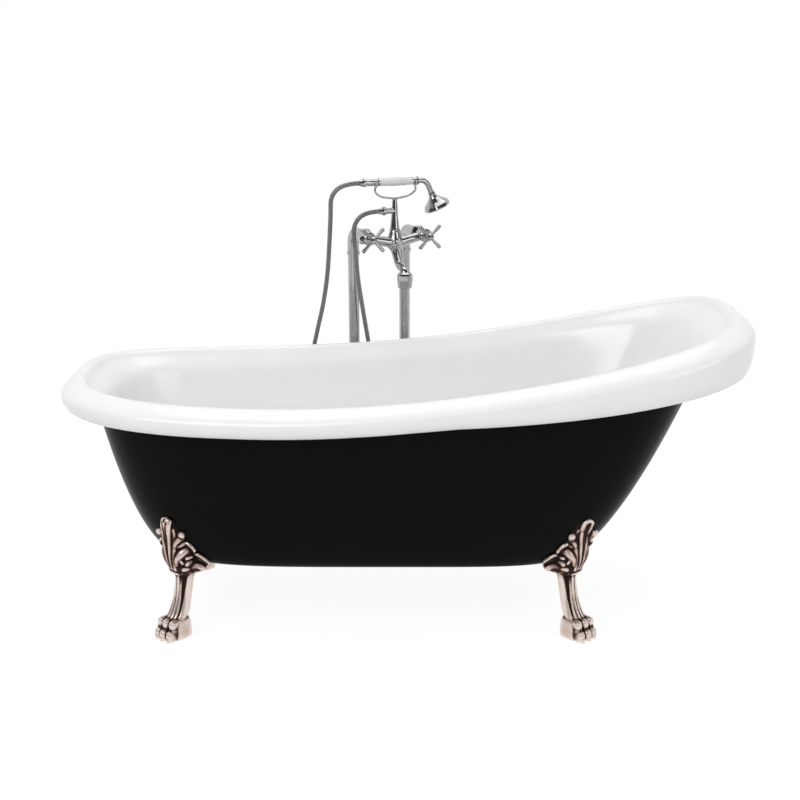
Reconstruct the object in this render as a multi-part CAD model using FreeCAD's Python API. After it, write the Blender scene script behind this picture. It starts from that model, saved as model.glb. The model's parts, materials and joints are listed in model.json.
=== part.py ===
import FreeCAD
import Part
import math
import os

os.makedirs("parts", exist_ok=True)
V = FreeCAD.Vector
UP = V(0, 0, 1)
DOWN = V(0, 0, -1)

# A free-standing bath with one raised end, on four clawed feet, and the filler that stands behind it.
# X runs along the bath to its raised head end, Y away from the side that is looked at, Z up from the
# floor. All sizes are in millimetres.

# ---- The bath's plan and rim -------------------------------------------------------------------
RIM_LENGTH = 1700.0
RIM_WIDTH = 751.0
FOOT_END_X = -RIM_LENGTH / 2
HEAD_END_X = RIM_LENGTH / 2
SIDE_Y = RIM_WIDTH / 2
RIM_WIDEST_X = 122.0        # the plan is widest a little towards the head end
RIM_POWERS = (3.34, 3.40)   # squareness of the plan's foot and head half
RIM_LOW_Z = 622.0           # the crown's lowest height
RIM_LOW_X = FOOT_END_X + 500.0
HEAD_RISE = 172.0           # how far the crown climbs at the head end
HEAD_RISE_POWER = 1.9
FOOT_RISE = 20.0
FOOT_RISE_POWER = 3.0
ROLL_GROWTH = 57.0          # how much deeper the rolled lip hangs at the head end
ROLL_GROWTH_FROM_X = HEAD_END_X - 750.0
SHELL_T = 7.0               # white inner shell

# ---- The bath's walls and floor: triples are for the foot end, the head end and the sides ------------
BASE_Z = 190.0              # underside of the black skin
BASE_FOOT_X = FOOT_END_X + 282.0
BASE_HEAD_X = HEAD_END_X - 435.0
BASE_HALF_WIDTH = SIDE_Y - 145.5
BASE_WIDEST_X = -28.0
BASE_POWERS = (4.5, 4.8)    # squareness of the skin's flat bottom, foot and head half
SKIN_T = 4.5
SKIN_TOP_INSETS = (77.0, 97.0, 62.5)    # the skin's top edge, in from the rim's outermost line
SKIN_TOP_DROP = 48.0        # and below the crown
SKIN_BULGES = (0.406, 0.631)            # under 1 bows the skin outwards, foot and head end
BOARD_T = 18.0
BOARD_INSET = 16.0
FLOOR_FOOT_X = FOOT_END_X + 280.0       # the white shell's flat floor, underside
FLOOR_HEAD_X = HEAD_END_X - 445.0
FLOOR_HALF_WIDTH = SIDE_Y - 197.5
FLOOR_WIDEST_X = -40.0
FLOOR_POWERS = (3.6, 3.8)
SHELL_TOP_INSETS = (104.0, 110.0, 74.0)
SHELL_TOP_DROP = 45.0
SHELL_BULGES = (0.5, 0.7)
AROUND = 72                 # stations round the bath

# ---- Feet: the leg's and the calyx's sections are height, centre along the toes, half sizes ------------
FOOT_TURN = 41.0            # how far each paw turns from square to the side towards the bath's end
FOOT_END_FOOT_X = BASE_FOOT_X - 16.7    # paw centres
HEAD_END_FOOT_X = BASE_HEAD_X + 22.0
FOOT_Y = BASE_HALF_WIDTH + 1.8
SOLE_Z = 2.0
PAW_LENGTH = 66.0
PAW_WIDTH = 66.0
TOES = 3
LEG_SECTIONS = ((2.0, -2.0, 29.0, 29.0), (24.0, -2.0, 29.0, 30.0), (46.0, -12.0, 27.0, 28.0),
                (66.0, -26.0, 24.0, 26.0), (103.0, -37.0, 22.0, 24.0), (150.0, -46.0, 25.0, 27.0),
                (190.0, -54.0, 30.0, 32.0), (214.0, -58.0, 32.0, 34.0))
CALYX_SECTIONS = ((166.0, -48.0, 32.0, 34.0), (180.0, -48.0, 40.0, 40.0), (207.0, -48.0, 48.0, 46.0),
                  (245.0, -44.0, 47.0, 38.0), (272.0, -36.0, 40.0, 31.0), (300.0, -28.0, 33.0, 22.0),
                  (318.0, -20.0, 24.0, 13.0))
WING_REACH = 68.0           # the bracket's wings, half the span between their ends
WING_Z = (170.0, 200.0)
WING_X = (-92.0, -52.0)
LEAF_T = 13.0
LEAF_HALF_OUTLINE = ((0.0, 322.0), (12.0, 319.0), (17.0, 307.0), (14.0, 286.0), (25.0, 288.0),
                     (34.0, 280.0), (36.0, 263.0), (34.0, 256.0), (46.0, 243.0), (50.0, 229.0),
                     (64.0, 217.0), (76.0, 204.0), (74.0, 188.0), (60.0, 176.0), (0.0, 170.0))
SEAT_GAP = 0.3              # bracket to the skin's curved wall
PAD_PLATE_T = 10.0
PAD_PLATE_W = 46.0
PAD_PLATE_X = (-164.0, -50.0)
FOOT_BOLT_R = 4.0
FOOT_BOLT_X = (-118.0, -148.0)
FOOT_BOLT_HEAD_R = 7.5
FOOT_BOLT_HEAD_T = 5.3
FOOT_WASHER_R = 9.0
FOOT_WASHER_T = 1.6
INSERT_R = 6.5
INSERT_LENGTH = 14.0
GLIDE_R = 20.0
GLIDE_T = 5.0
FIT = 0.05                  # radial clearance of fixed round fits

# ---- Waste and plug ----------------------------------------------------------------------------------
WASTE_X = FLOOR_FOOT_X + 140.0
WASTE_HOLE_R = 26.0
WASTE_ACCESS_R = 42.0
TAIL_R = 23.9               # 1 1/2 inch waste thread
TAIL_BORE_R = 19.5
TAIL_END_Z = 118.0
TAIL_RELIEF_Z = 146.0       # the free thread for the trap ends at this groove
WASTE_FLANGE_R = 36.0
WASTE_FLANGE_T = 3.5
WASTE_SEAL_T = 1.5
WASTE_TEE_R = 32.0
WASTE_TEE_H = 50.0
TEE_PORT_Z = BASE_Z - 15.0          # the overflow hose joins the tee below the skin
BACKNUT_H = 12.0
BACKNUT_AF = 62.0
BRIDGE_T = 6.0
BRIDGE_Z = BASE_Z - 4.0
CARTRIDGE_R = 7.0
STEM_R = 3.5
PLUG_R = 30.0
PLUG_T = 7.0
RUNNING = 0.05              # radial clearance of turning and sliding spindles

# ---- Overflow ------------------------------------------------------------------------------------------
OVERFLOW_Z = 480.0
OVERFLOW_TILT = 16.0        # the end wall leans out as it rises
OVERFLOW_HOLE_R = 17.0
OVERFLOW_NECK_R = 16.0
OVERFLOW_COVER_R = 31.0
OVERFLOW_COVER_T = 7.0
OVERFLOW_BOX_T = 14.0
OVERFLOW_BOX_W = 46.0
OVERFLOW_HOSE_R = 7.0
SKIN_HOSE_GAP = 3.5
OVERFLOW_HOSE_BORE_R = 5.2
OVERFLOW_CHUTE = 50.0       # the box reaches this far down the wall

# ---- Filler: its own frame has x along the two inlets, -y towards the bath ---------------------------
FILLER_X = -72.0            # midway between the standpipes
FILLER_Y = SIDE_Y + 49.5
FILLER_TURN = 22.0
PIPE_HALF_SPACING = 76.0
PIPE_R = 15.0
PIPE_BORE_R = 13.0
SOCKET_R = 11.05            # takes a 22 mm supply pipe
SOCKET_DEPTH = 30.0
INLET_Z = 922.0             # the mixing body and all that it carries follow this height
PIPE_TOP_Z = INLET_Z - 58.0
FLOOR_FLANGE_R = 32.0
FLOOR_FLANGE_T = 8.0
FLANGE_HOLES_PCD = 48.0
FLANGE_HOLE_R = 2.6
FLANGE_HOLES = 3
COUPLING_R = 18.0
COUPLING_H = 11.0
ELBOW_R = 16.0
ELBOW_BEND = 30.0
BODY_Y = -118.0             # the mixing body stands this far in front of the standpipes
UNION_NUT_AF = 40.0
UNION_NUT_H = 14.0
VALVE_R = 18.0
VALVE_X = 81.0
VALVE_BACK_Y = -98.0
VALVE_FRONT_Y = -140.0
ARM_R = 12.5
HUB_R = 20.0
HUB_Z = INLET_Z - 16.0
HUB_TOP_Z = HUB_Z + 32.0
HUB_BOTTOM_Z = HUB_Z - 22.0
CARTRIDGE_BORE_R = 9.0
BONNET_LENGTH = 20.0
SPINDLE_R = 5.0
HANDLE_GAP = 0.5
HANDLE_HUB_R = 9.5
HANDLE_HUB_H = 17.0
HANDLE_REACH = 43.0
HANDLE_ARM_R = 3.2
HANDLE_TIP_R = 5.5
INDEX_R = 7.0
INDEX_T = 2.5
DIVERTER_R = 9.0
DIVERTER_H = 14.0
SPOUT_R = 11.0
SPOUT_BORE_R = 8.5
NOZZLE_Y = -191.0
SPOUT_KNEE_Z = HUB_Z - 58.0
NOZZLE_TOP_Z = HUB_Z - 68.0
NOZZLE_BOTTOM_Z = NOZZLE_TOP_Z - 42.0
NOZZLE_R = 21.0
NOZZLE_END_R = 18.5
NOZZLE_BORE_R = 15.0
AERATOR_T = 9.0
POST_BASE_R = 13.0
POST_TOP_R = 6.5
POST_TOP_Z = HUB_TOP_Z + 80.0
OUTLET_Z = POST_TOP_Z - 28.0
OUTLET_R = 8.0
OUTLET_REACH = 26.0
CRADLE_BAR_R = 2.8

# ---- Handset and hose -----------------------------------------------------------------------------------
HANDSET_Z = POST_TOP_Z + 48.0
GRIP_FROM_X = -44.0
GRIP_TO_X = 50.0
GRIP_R = 9.6
GRIP_SWELL = 1.6
COLLAR_R = 8.5
TAIL_COLLAR_X = -81.0
NECK_COLLAR_X = 66.0
NECK_R = 7.5
SADDLE_X = (-54.0, 58.0)
BELL_TILT = 25.0            # the spray leans this far from straight down
BELL_R = 36.0
BELL_DEPTH = 43.0
BELL_WALL = 2.0
SPRAY_PLATE_T = 3.0
SPRAY_HOLE_R = 0.9
SPRAY_RINGS = ((10.0, 8), (18.0, 14), (26.0, 20))
HOSE_R = 6.3
HOSE_NUT_R = 11.5
HOSE_NUT_L = 20.0

MID_Z = BASE_Z + SKIN_T + BOARD_T           # underside of the white shell's floor
FLOOR_Z = MID_Z + SHELL_T
BODY_BACK_EDGE = (FILLER_Y + PIPE_HALF_SPACING * math.sin(math.radians(FILLER_TURN))
                  + FLOOR_FLANGE_R)
FRAME_SHIFT = V(0, (RIM_WIDTH / 2 - BODY_BACK_EDGE) / 2, 0)
FILLER = FreeCAD.Placement(V(FILLER_X, FILLER_Y, 0), FreeCAD.Rotation(UP, FILLER_TURN))


# ---- Helpers ---------------------------------------------------------------------------------------------
def save(name, shape):
    """Writes one piece, with the bath and filler together centred on the origin."""
    moved = shape.copy()
    moved.translate(FRAME_SHIFT)
    moved.exportStep("parts/" + name + ".step")
    print(name, len(moved.Solids), moved.isValid(), round(moved.Volume / 1000.0, 2), "cm3")


def on_filler(shape):
    """Moves a shape from the filler's own frame to the bath's."""
    return shape.transformed(FILLER.toMatrix())


def cylinder(radius, start, direction, length):
    return Part.makeCylinder(radius, length, start, direction)


def pipe_piece(radius, bore, start, direction, length):
    outside = cylinder(radius, start, direction, length)
    return outside.cut(cylinder(bore, start, direction, length))


def turned(profile, start, direction):
    """A solid of revolution from (radius, height) points, its axis at start along direction."""
    points = [V(radius, 0, height) for radius, height in profile]
    face = Part.Face(Part.makePolygon(points + points[:1]))
    solid = face.revolve(V(0, 0, 0), UP, 360)
    return placed(solid, start, direction)


def placed(shape, start, direction):
    """Turns +Z to the direction and moves the shape to start."""
    place = FreeCAD.Placement(start, FreeCAD.Rotation(UP, direction))
    return shape.transformed(place.toMatrix())


def hexagon(across_flats, bore, start, direction, length):
    corner = across_flats / math.sqrt(3.0)
    points = [V(corner * math.cos(math.radians(60 * i)), corner * math.sin(math.radians(60 * i)), 0)
              for i in range(7)]
    prism = Part.Face(Part.makePolygon(points)).extrude(V(0, 0, length))
    if bore > 0:
        prism = prism.cut(cylinder(bore, V(0, 0, 0), UP, length))
    return placed(prism, start, direction)


def rounded_route(points, bends=None):
    """Straight runs joined by tangent arcs. A bend is given, or 0.45 of the shorter run sets it."""
    edges = []
    radii = []
    last = points[0]
    for i in range(1, len(points) - 1):
        before = points[i].sub(points[i - 1])
        after = points[i + 1].sub(points[i])
        turn = before.getAngle(after)
        if bends is None:
            radius = 0.45 * min(before.Length, after.Length) / math.tan(turn / 2)
        else:
            radius = bends[i - 1]
        back = radius * math.tan(turn / 2)
        start = points[i].sub(V(before).normalize().multiply(back))
        end = points[i].add(V(after).normalize().multiply(back))
        inward = V(after).normalize().sub(V(before).normalize()).normalize()
        middle = points[i].add(inward.multiply(radius / math.cos(turn / 2) - radius))
        edges.append(Part.LineSegment(last, start).toShape())
        edges.append(Part.Arc(start, middle, end).toShape())
        radii.append(radius)
        last = end
    edges.append(Part.LineSegment(last, points[-1]).toShape())
    return Part.Wire(edges), radii


def swept(points, radius, bends=None):
    """A round bar along the route."""
    route = rounded_route(points, bends)[0]
    along = points[1].sub(points[0])
    ring = Part.Wire(Part.makeCircle(radius, points[0], along))
    return route.makePipeShell([ring], True, False)


# ---- The bath's shells -------------------------------------------------------------------------------
def plan_ring(foot_x, head_x, half_width, widest_x, powers):
    """(x, y) stations round a plan whose two halves are rounded rectangles of one family."""
    stations = []
    for i in range(AROUND):
        angle = 2 * math.pi * i / AROUND
        along = math.cos(angle)
        across = math.sin(angle)
        power = powers[1] if along > 0 else powers[0]
        reach = head_x - widest_x if along > 0 else widest_x - foot_x
        scale = (abs(along) ** power + abs(across) ** power) ** (-1.0 / power)
        stations.append((widest_x + reach * along * scale, half_width * across * scale))
    return stations


def rim_plan(foot_inset, head_inset, side_inset):
    return plan_ring(FOOT_END_X + foot_inset, HEAD_END_X - head_inset,
                     RIM_WIDTH / 2 - side_inset, RIM_WIDEST_X, RIM_POWERS)


def base_plan(inset):
    return plan_ring(BASE_FOOT_X + inset, BASE_HEAD_X - inset, BASE_HALF_WIDTH - inset, BASE_WIDEST_X,
                     BASE_POWERS)


def floor_plan(inset):
    return plan_ring(FLOOR_FOOT_X + inset, FLOOR_HEAD_X - inset, FLOOR_HALF_WIDTH - inset,
                     FLOOR_WIDEST_X, FLOOR_POWERS)


def crown_z(x):
    """Height of the rim's crown over a station."""
    if x > RIM_LOW_X:
        share = (x - RIM_LOW_X) / (HEAD_END_X - RIM_LOW_X)
        return RIM_LOW_Z + HEAD_RISE * share ** HEAD_RISE_POWER
    share = (RIM_LOW_X - x) / (RIM_LOW_X - FOOT_END_X)
    return RIM_LOW_Z + FOOT_RISE * share ** FOOT_RISE_POWER


def roll_growth(x):
    share = max(0.0, (x - ROLL_GROWTH_FROM_X) / (HEAD_END_X - ROLL_GROWTH_FROM_X))
    return ROLL_GROWTH * share


CROWN = [crown_z(x) for x, y in rim_plan(0.0, 0.0, 0.0)]
GROWTH = [roll_growth(x) for x, y in rim_plan(0.0, 0.0, 0.0)]


def rim_ring(inset, drop, growth_share):
    """A line round the roll: how far in from the outermost line, and how far below the crown."""
    plan = rim_plan(inset, inset, inset)
    return [V(plan[i][0], plan[i][1], CROWN[i] - drop - growth_share * GROWTH[i])
            for i in range(AROUND)]


def wall_ring(rise, low_plan, low_z, top_plan, top_drop, bulges):
    """A line round a wall: rise is 0 on the flat bottom and 1 at the wall's top."""
    ring = []
    for i in range(AROUND):
        towards_head = (1 + math.cos(2 * math.pi * i / AROUND)) / 2
        out = rise ** (bulges[0] + (bulges[1] - bulges[0]) * towards_head)
        x = low_plan[i][0] + out * (top_plan[i][0] - low_plan[i][0])
        y = low_plan[i][1] + out * (top_plan[i][1] - low_plan[i][1])
        ring.append(V(x, y, low_z + rise * (CROWN[i] - top_drop - low_z)))
    return ring


def skin_ring(rise, thickness):
    """A line round the black skin, on its outside or a thickness inside it."""
    top_plan = rim_plan(*[inset + thickness for inset in SKIN_TOP_INSETS])
    return wall_ring(rise, base_plan(thickness), BASE_Z + max(0.0, thickness), top_plan, SKIN_TOP_DROP,
                     SKIN_BULGES)


def shell_ring(rise, thickness):
    """A line round the white shell's wall, on its hidden side or a thickness inside it."""
    top_plan = rim_plan(*[inset + thickness for inset in SHELL_TOP_INSETS])
    return wall_ring(rise, floor_plan(thickness), MID_Z + thickness, top_plan, SHELL_TOP_DROP,
                     SHELL_BULGES)


def closed_poles(ring):
    """Poles of the closed cubic curve that passes through the ring's points."""
    poles = [V(point) for point in ring]
    count = len(ring)
    for sweep in range(12):
        nearer = []
        for i in range(count):
            on_curve = poles[i - 1].add(poles[i] * 4.0).add(poles[(i + 1) % count]) * (1 / 6.0)
            nearer.append(poles[i].add(ring[i].sub(on_curve)))
        poles = nearer
    return poles


def ringed_solid(rings):
    """A closed solid whose skin runs smoothly from the first ring to the last, both flat."""
    columns = [closed_poles(ring) for ring in rings]
    net = [[column[i] for column in columns] for i in range(AROUND)]
    surface = Part.BSplineSurface()
    surface.buildFromPolesMultsKnots(
        net, [1] * (AROUND + 1), [4] + [1] * (len(rings) - 4) + [4],
        [float(i) for i in range(AROUND + 1)], [float(i) for i in range(len(rings) - 2)],
        True, False, 3, 3)
    side = surface.toShape()
    faces = [side]
    for edge in side.Edges:
        if edge.isClosed():
            faces.append(Part.Face(Part.Wire([edge])))
    shell = Part.makeShell(faces)
    shell.sewShape()
    solid = Part.makeSolid(shell)
    if solid.Volume < 0:
        solid.reverse()
    return solid


WALL_RISES = (0.0, 0.006, 0.03, 0.08, 0.16, 0.28, 0.42, 0.58, 0.74, 0.88, 1.0)

# The roll's outside from the basin over the crown to the lip's bottom edge: inset, drop, growth share.
ROLL_OUTSIDE = ((65.5, 19.0, 0.0), (61.0, 8.0, 0.0), (55.5, 2.0, 0.0), (49.0, 0.0, 0.0),
                (44.0, 0.0, 0.0), (38.0, 1.0, 0.0), (27.0, 5.5, 0.0), (15.0, 12.5, 0.0),
                (5.0, 21.0, 0.0), (0.0, 28.0, 0.05), (0.0, 34.0, 0.2), (0.0, 40.0, 0.4),
                (2.5, 51.0, 0.75), (7.0, 59.0, 0.92), (11.5, 63.8, 1.0), (16.0, 63.8, 1.0))
# Its hidden side, back from the lip to the top of the wall.
ROLL_INSIDE = ((18.5, 60.0, 1.0), (14.0, 54.0, 0.92), (9.5, 47.0, 0.75), (7.0, 39.0, 0.4),
               (7.0, 34.0, 0.2), (7.5, 30.0, 0.05), (12.0, 24.5, 0.0), (20.0, 18.5, 0.0),
               (30.0, 12.5, 0.0), (39.0, 8.5, 0.0), (45.0, 7.5, 0.0), (50.0, 8.5, 0.0),
               (55.0, 13.0, 0.0), (58.5, 21.0, 0.0))


def white_shell_rings():
    rings = [shell_ring(rise, SHELL_T) for rise in WALL_RISES]
    rings += [rim_ring(inset, drop, share) for inset, drop, share in ROLL_OUTSIDE + ROLL_INSIDE]
    rings += [shell_ring(rise, 0.0) for rise in reversed(WALL_RISES)]
    return rings


def black_skin_rings():
    rings = [skin_ring(rise, 0.0) for rise in WALL_RISES]
    rings += [skin_ring(rise, SKIN_T) for rise in reversed(WALL_RISES)]
    return rings


def skin_envelope(outset):
    """The lower skin filled solid and grown sideways, for seating what hugs it."""
    rings = [skin_ring(rise, -outset) for rise in WALL_RISES[:8]]
    last = rings[-1]
    top_z = max(point.z for point in last) + 20.0
    rings.append([V(point.x, point.y, top_z) for point in last])
    return ringed_solid(rings)


def board_face(inset, z):
    ring = [V(x, y, z) for x, y in base_plan(inset)]
    curve = Part.BSplineCurve()
    curve.interpolate(Points=ring, PeriodicFlag=True)
    return Part.Face(Part.Wire([curve.toShape()]))


# ---- Feet ------------------------------------------------------------------------------------------------
def ellipse_ring(centre, along, across):
    """A level ellipse, half sizes along X and Y."""
    ellipse = Part.Ellipse(V(0, 0, 0), max(along, across), min(along, across)).toShape()
    if across > along:
        ellipse.rotate(V(0, 0, 0), UP, 90)
    ellipse.translate(centre)
    return Part.Wire([ellipse])


def foot_loft(sections):
    return Part.makeLoft([ellipse_ring(V(x, 0, z), along, across) for z, x, along, across in sections],
                         True, False)


def foot_blank():
    """One foot about its paw's centre, its toes along +X, before it is fitted to the skin."""
    blank = foot_loft(LEG_SECTIONS).fuse(foot_loft(CALYX_SECTIONS))
    toe_r = PAW_WIDTH / (2 * TOES)
    for i in range(TOES):
        across = (i - (TOES - 1) / 2) * (PAW_WIDTH - 2 * toe_r) / (TOES - 1)
        front = PAW_LENGTH / 2 - toe_r - 0.06 * abs(across)
        knuckle = V(0.0, across * 0.75, 42.0)
        tip = V(front, across, SOLE_Z + toe_r - 1.0)
        toe = swept([knuckle, V(front * 0.8, across, 40.0), tip], toe_r, [12.0])
        blank = blank.fuse([toe, Part.makeSphere(toe_r, tip), Part.makeSphere(toe_r, knuckle)])
    below = Part.makeBox(300, 300, 60, V(-150, -150, SOLE_Z - 60))
    plate = Part.makeBox(PAD_PLATE_X[1] - PAD_PLATE_X[0], PAD_PLATE_W, PAD_PLATE_T,
                         V(PAD_PLATE_X[0], -PAD_PLATE_W / 2, BASE_Z - PAD_PLATE_T))
    wings = Part.makeBox(WING_X[1] - WING_X[0], 2 * WING_REACH, WING_Z[1] - WING_Z[0],
                         V(WING_X[0], -WING_REACH, WING_Z[0]))
    wings = wings.makeFillet(8.0, wings.Edges)
    blank = blank.cut(below).fuse([plate, wings])
    blank = blank.cut(cylinder(GLIDE_R + FIT, V(0, 0, 0), UP, GLIDE_T))
    for x in FOOT_BOLT_X:
        blank = blank.cut(cylinder(FOOT_BOLT_R + 0.5, V(x, 0, BASE_Z - 40), UP, 50))
    return blank


def leaf_prism():
    """The leaf's outline seen from in front of the foot, as a deep block along X."""
    points = [V(-140, y, z) for y, z in LEAF_HALF_OUTLINE]
    points += [V(-140, -y, z) for y, z in reversed(LEAF_HALF_OUTLINE[1:-1])]
    return Part.Face(Part.makePolygon(points + points[:1])).extrude(V(200, 0, 0))


def foot_place(end_sign, side_sign, centre_x):
    """Puts a shape made about one paw's centre at its corner of the bath."""
    heading = math.degrees(math.atan2(-math.cos(math.radians(FOOT_TURN)),
                                      -math.sin(math.radians(FOOT_TURN))))

    def place(shape):
        moved = shape.copy()
        moved.rotate(V(0, 0, 0), UP, heading)
        if end_sign > 0:
            moved = moved.mirror(V(0, 0, 0), V(1, 0, 0))
        if side_sign > 0:
            moved = moved.mirror(V(0, 0, 0), V(0, 1, 0))
        moved.translate(V(centre_x, side_sign * FOOT_Y, 0))
        return moved
    return place


FEET = {
    "foot_front_left": foot_place(-1, -1, FOOT_END_FOOT_X),
    "foot_front_right": foot_place(1, -1, HEAD_END_FOOT_X),
    "foot_back_left": foot_place(-1, 1, FOOT_END_FOOT_X),
    "foot_back_right": foot_place(1, 1, HEAD_END_FOOT_X),
}


def foot_bolt(x):
    """A hexagon-headed bolt up through the foot's plate into the board."""
    head_z = BASE_Z - PAD_PLATE_T - FOOT_WASHER_T
    head = hexagon(FOOT_BOLT_HEAD_R * math.sqrt(3.0), 0, V(x, 0, head_z), DOWN,
                   FOOT_BOLT_HEAD_T)
    top_z = MID_Z - 1.5
    shank = cylinder(FOOT_BOLT_R - FIT, V(x, 0, head_z - 1.0), UP, top_z - head_z + 1.0)
    return head.fuse(shank).removeSplitter()


def make_feet():
    seat = skin_envelope(SEAT_GAP)
    leaf_outside = skin_envelope(LEAF_T)
    blank = foot_blank()
    prism = leaf_prism()
    washer = pipe_piece(FOOT_WASHER_R, FOOT_BOLT_R + 0.2, V(0, 0, 0), DOWN, FOOT_WASHER_T)
    insert = pipe_piece(INSERT_R, FOOT_BOLT_R, V(0, 0, MID_Z - 1.0), DOWN, INSERT_LENGTH)
    bolts = []
    washers = []
    inserts = []
    glides = []
    for name, place in FEET.items():
        leaf = place(prism).common(leaf_outside)
        foot = place(blank).fuse(leaf).cut(seat)
        foot = max(foot.Solids, key=lambda solid: solid.Volume)
        save(name, foot)
        for x in FOOT_BOLT_X:
            bolts.append(place(foot_bolt(x)))
            washers.append(place(washer.translated(V(x, 0, BASE_Z - PAD_PLATE_T))))
            inserts.append(place(insert.translated(V(x, 0, 0))))
        glides.append(place(cylinder(GLIDE_R, V(0, 0, 0), UP, GLIDE_T)))
    save("foot_bolts", Part.makeCompound(bolts))
    save("foot_washers", Part.makeCompound(washers))
    save("board_inserts", Part.makeCompound(inserts))
    save("foot_glides", Part.makeCompound(glides))


def bolt_holes(radius, low_z, high_z):
    """Holes for the feet's bolts, all four corners."""
    holes = []
    for place in FEET.values():
        for x in FOOT_BOLT_X:
            holes.append(place(cylinder(radius, V(x, 0, low_z), UP, high_z - low_z)))
    return holes


# ---- Shells, board and overflow place ------------------------------------------------------------------
def foot_wall_x(z):
    """Where the white shell's hidden side stands at the foot end, on the centreline."""
    rise = (z - MID_Z) / (CROWN[AROUND // 2] - SHELL_TOP_DROP - MID_Z)
    top_x = FOOT_END_X + SHELL_TOP_INSETS[0]
    return FLOOR_FOOT_X + rise ** SHELL_BULGES[0] * (top_x - FLOOR_FOOT_X)


TILT = math.radians(OVERFLOW_TILT)
OVERFLOW_AXIS = V(math.cos(TILT), 0, math.sin(TILT))
OVERFLOW_WALL = V(foot_wall_x(OVERFLOW_Z), 0, OVERFLOW_Z)


def along_overflow(distance):
    """A point on the overflow's axis, from the wall's hidden face towards the basin."""
    return OVERFLOW_WALL.add(OVERFLOW_AXIS * distance)


OVERFLOW_FACING = FreeCAD.Placement(OVERFLOW_WALL, FreeCAD.Rotation(
    V(math.sin(TILT), 0, -math.cos(TILT)), V(0, 1, 0), OVERFLOW_AXIS, "ZXY"))
# Down the end wall, under the white floor, out through the skin and along to the tee.
OVERFLOW_HOSE_ROUTE = [V(FOOT_END_X + from_end, 0, z) for from_end, z in (
    (136.5, OVERFLOW_Z - 50), (152, OVERFLOW_Z - 110), (180, BASE_Z + 110), (213, BASE_Z + 55),
    (253, BASE_Z + 22), (276, BASE_Z - 8), (302, BASE_Z - 22), (338, TEE_PORT_Z))]
OVERFLOW_HOSE_ROUTE.append(V(WASTE_X - WASTE_TEE_R - 8.0, 0, TEE_PORT_Z))
HOSE_LEAVES_SKIN_AT = 4


def make_shells():
    white = ringed_solid(white_shell_rings())
    crossing = white.common(Part.makeLine(along_overflow(-20), along_overflow(40)))
    depths = sorted(vertex.Point.sub(OVERFLOW_WALL).dot(OVERFLOW_AXIS)
                    for vertex in crossing.Vertexes)
    white = white.cut(cylinder(WASTE_HOLE_R, V(WASTE_X, 0, MID_Z - 5), UP, SHELL_T + 10))
    white = white.cut(cylinder(OVERFLOW_HOLE_R, along_overflow(-20), OVERFLOW_AXIS, 60))
    save("inner_shell", white)
    black = ringed_solid(black_skin_rings())
    black = black.cut(cylinder(WASTE_ACCESS_R, V(WASTE_X, 0, BASE_Z - 5), UP, SKIN_T + 10))
    inside, outside = OVERFLOW_HOSE_ROUTE[HOSE_LEAVES_SKIN_AT:HOSE_LEAVES_SKIN_AT + 2]
    leaving = outside.sub(inside).normalize()
    black = black.cut(cylinder(OVERFLOW_HOSE_R + SKIN_HOSE_GAP,
                               inside.sub(leaving * 14.0), leaving, 60.0))
    black = black.cut(bolt_holes(FOOT_BOLT_R + 0.5, BASE_Z - 1, BASE_Z + SKIN_T + 1))
    save("outer_skin", black)
    board = board_face(BOARD_INSET, BASE_Z + SKIN_T).extrude(V(0, 0, BOARD_T))
    board = board.cut(cylinder(WASTE_ACCESS_R, V(WASTE_X, 0, BASE_Z), UP, BOARD_T + 20))
    board = board.cut(bolt_holes(INSERT_R + FIT, BASE_Z, MID_Z + 5))
    save("base_board", board)
    return depths


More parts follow.
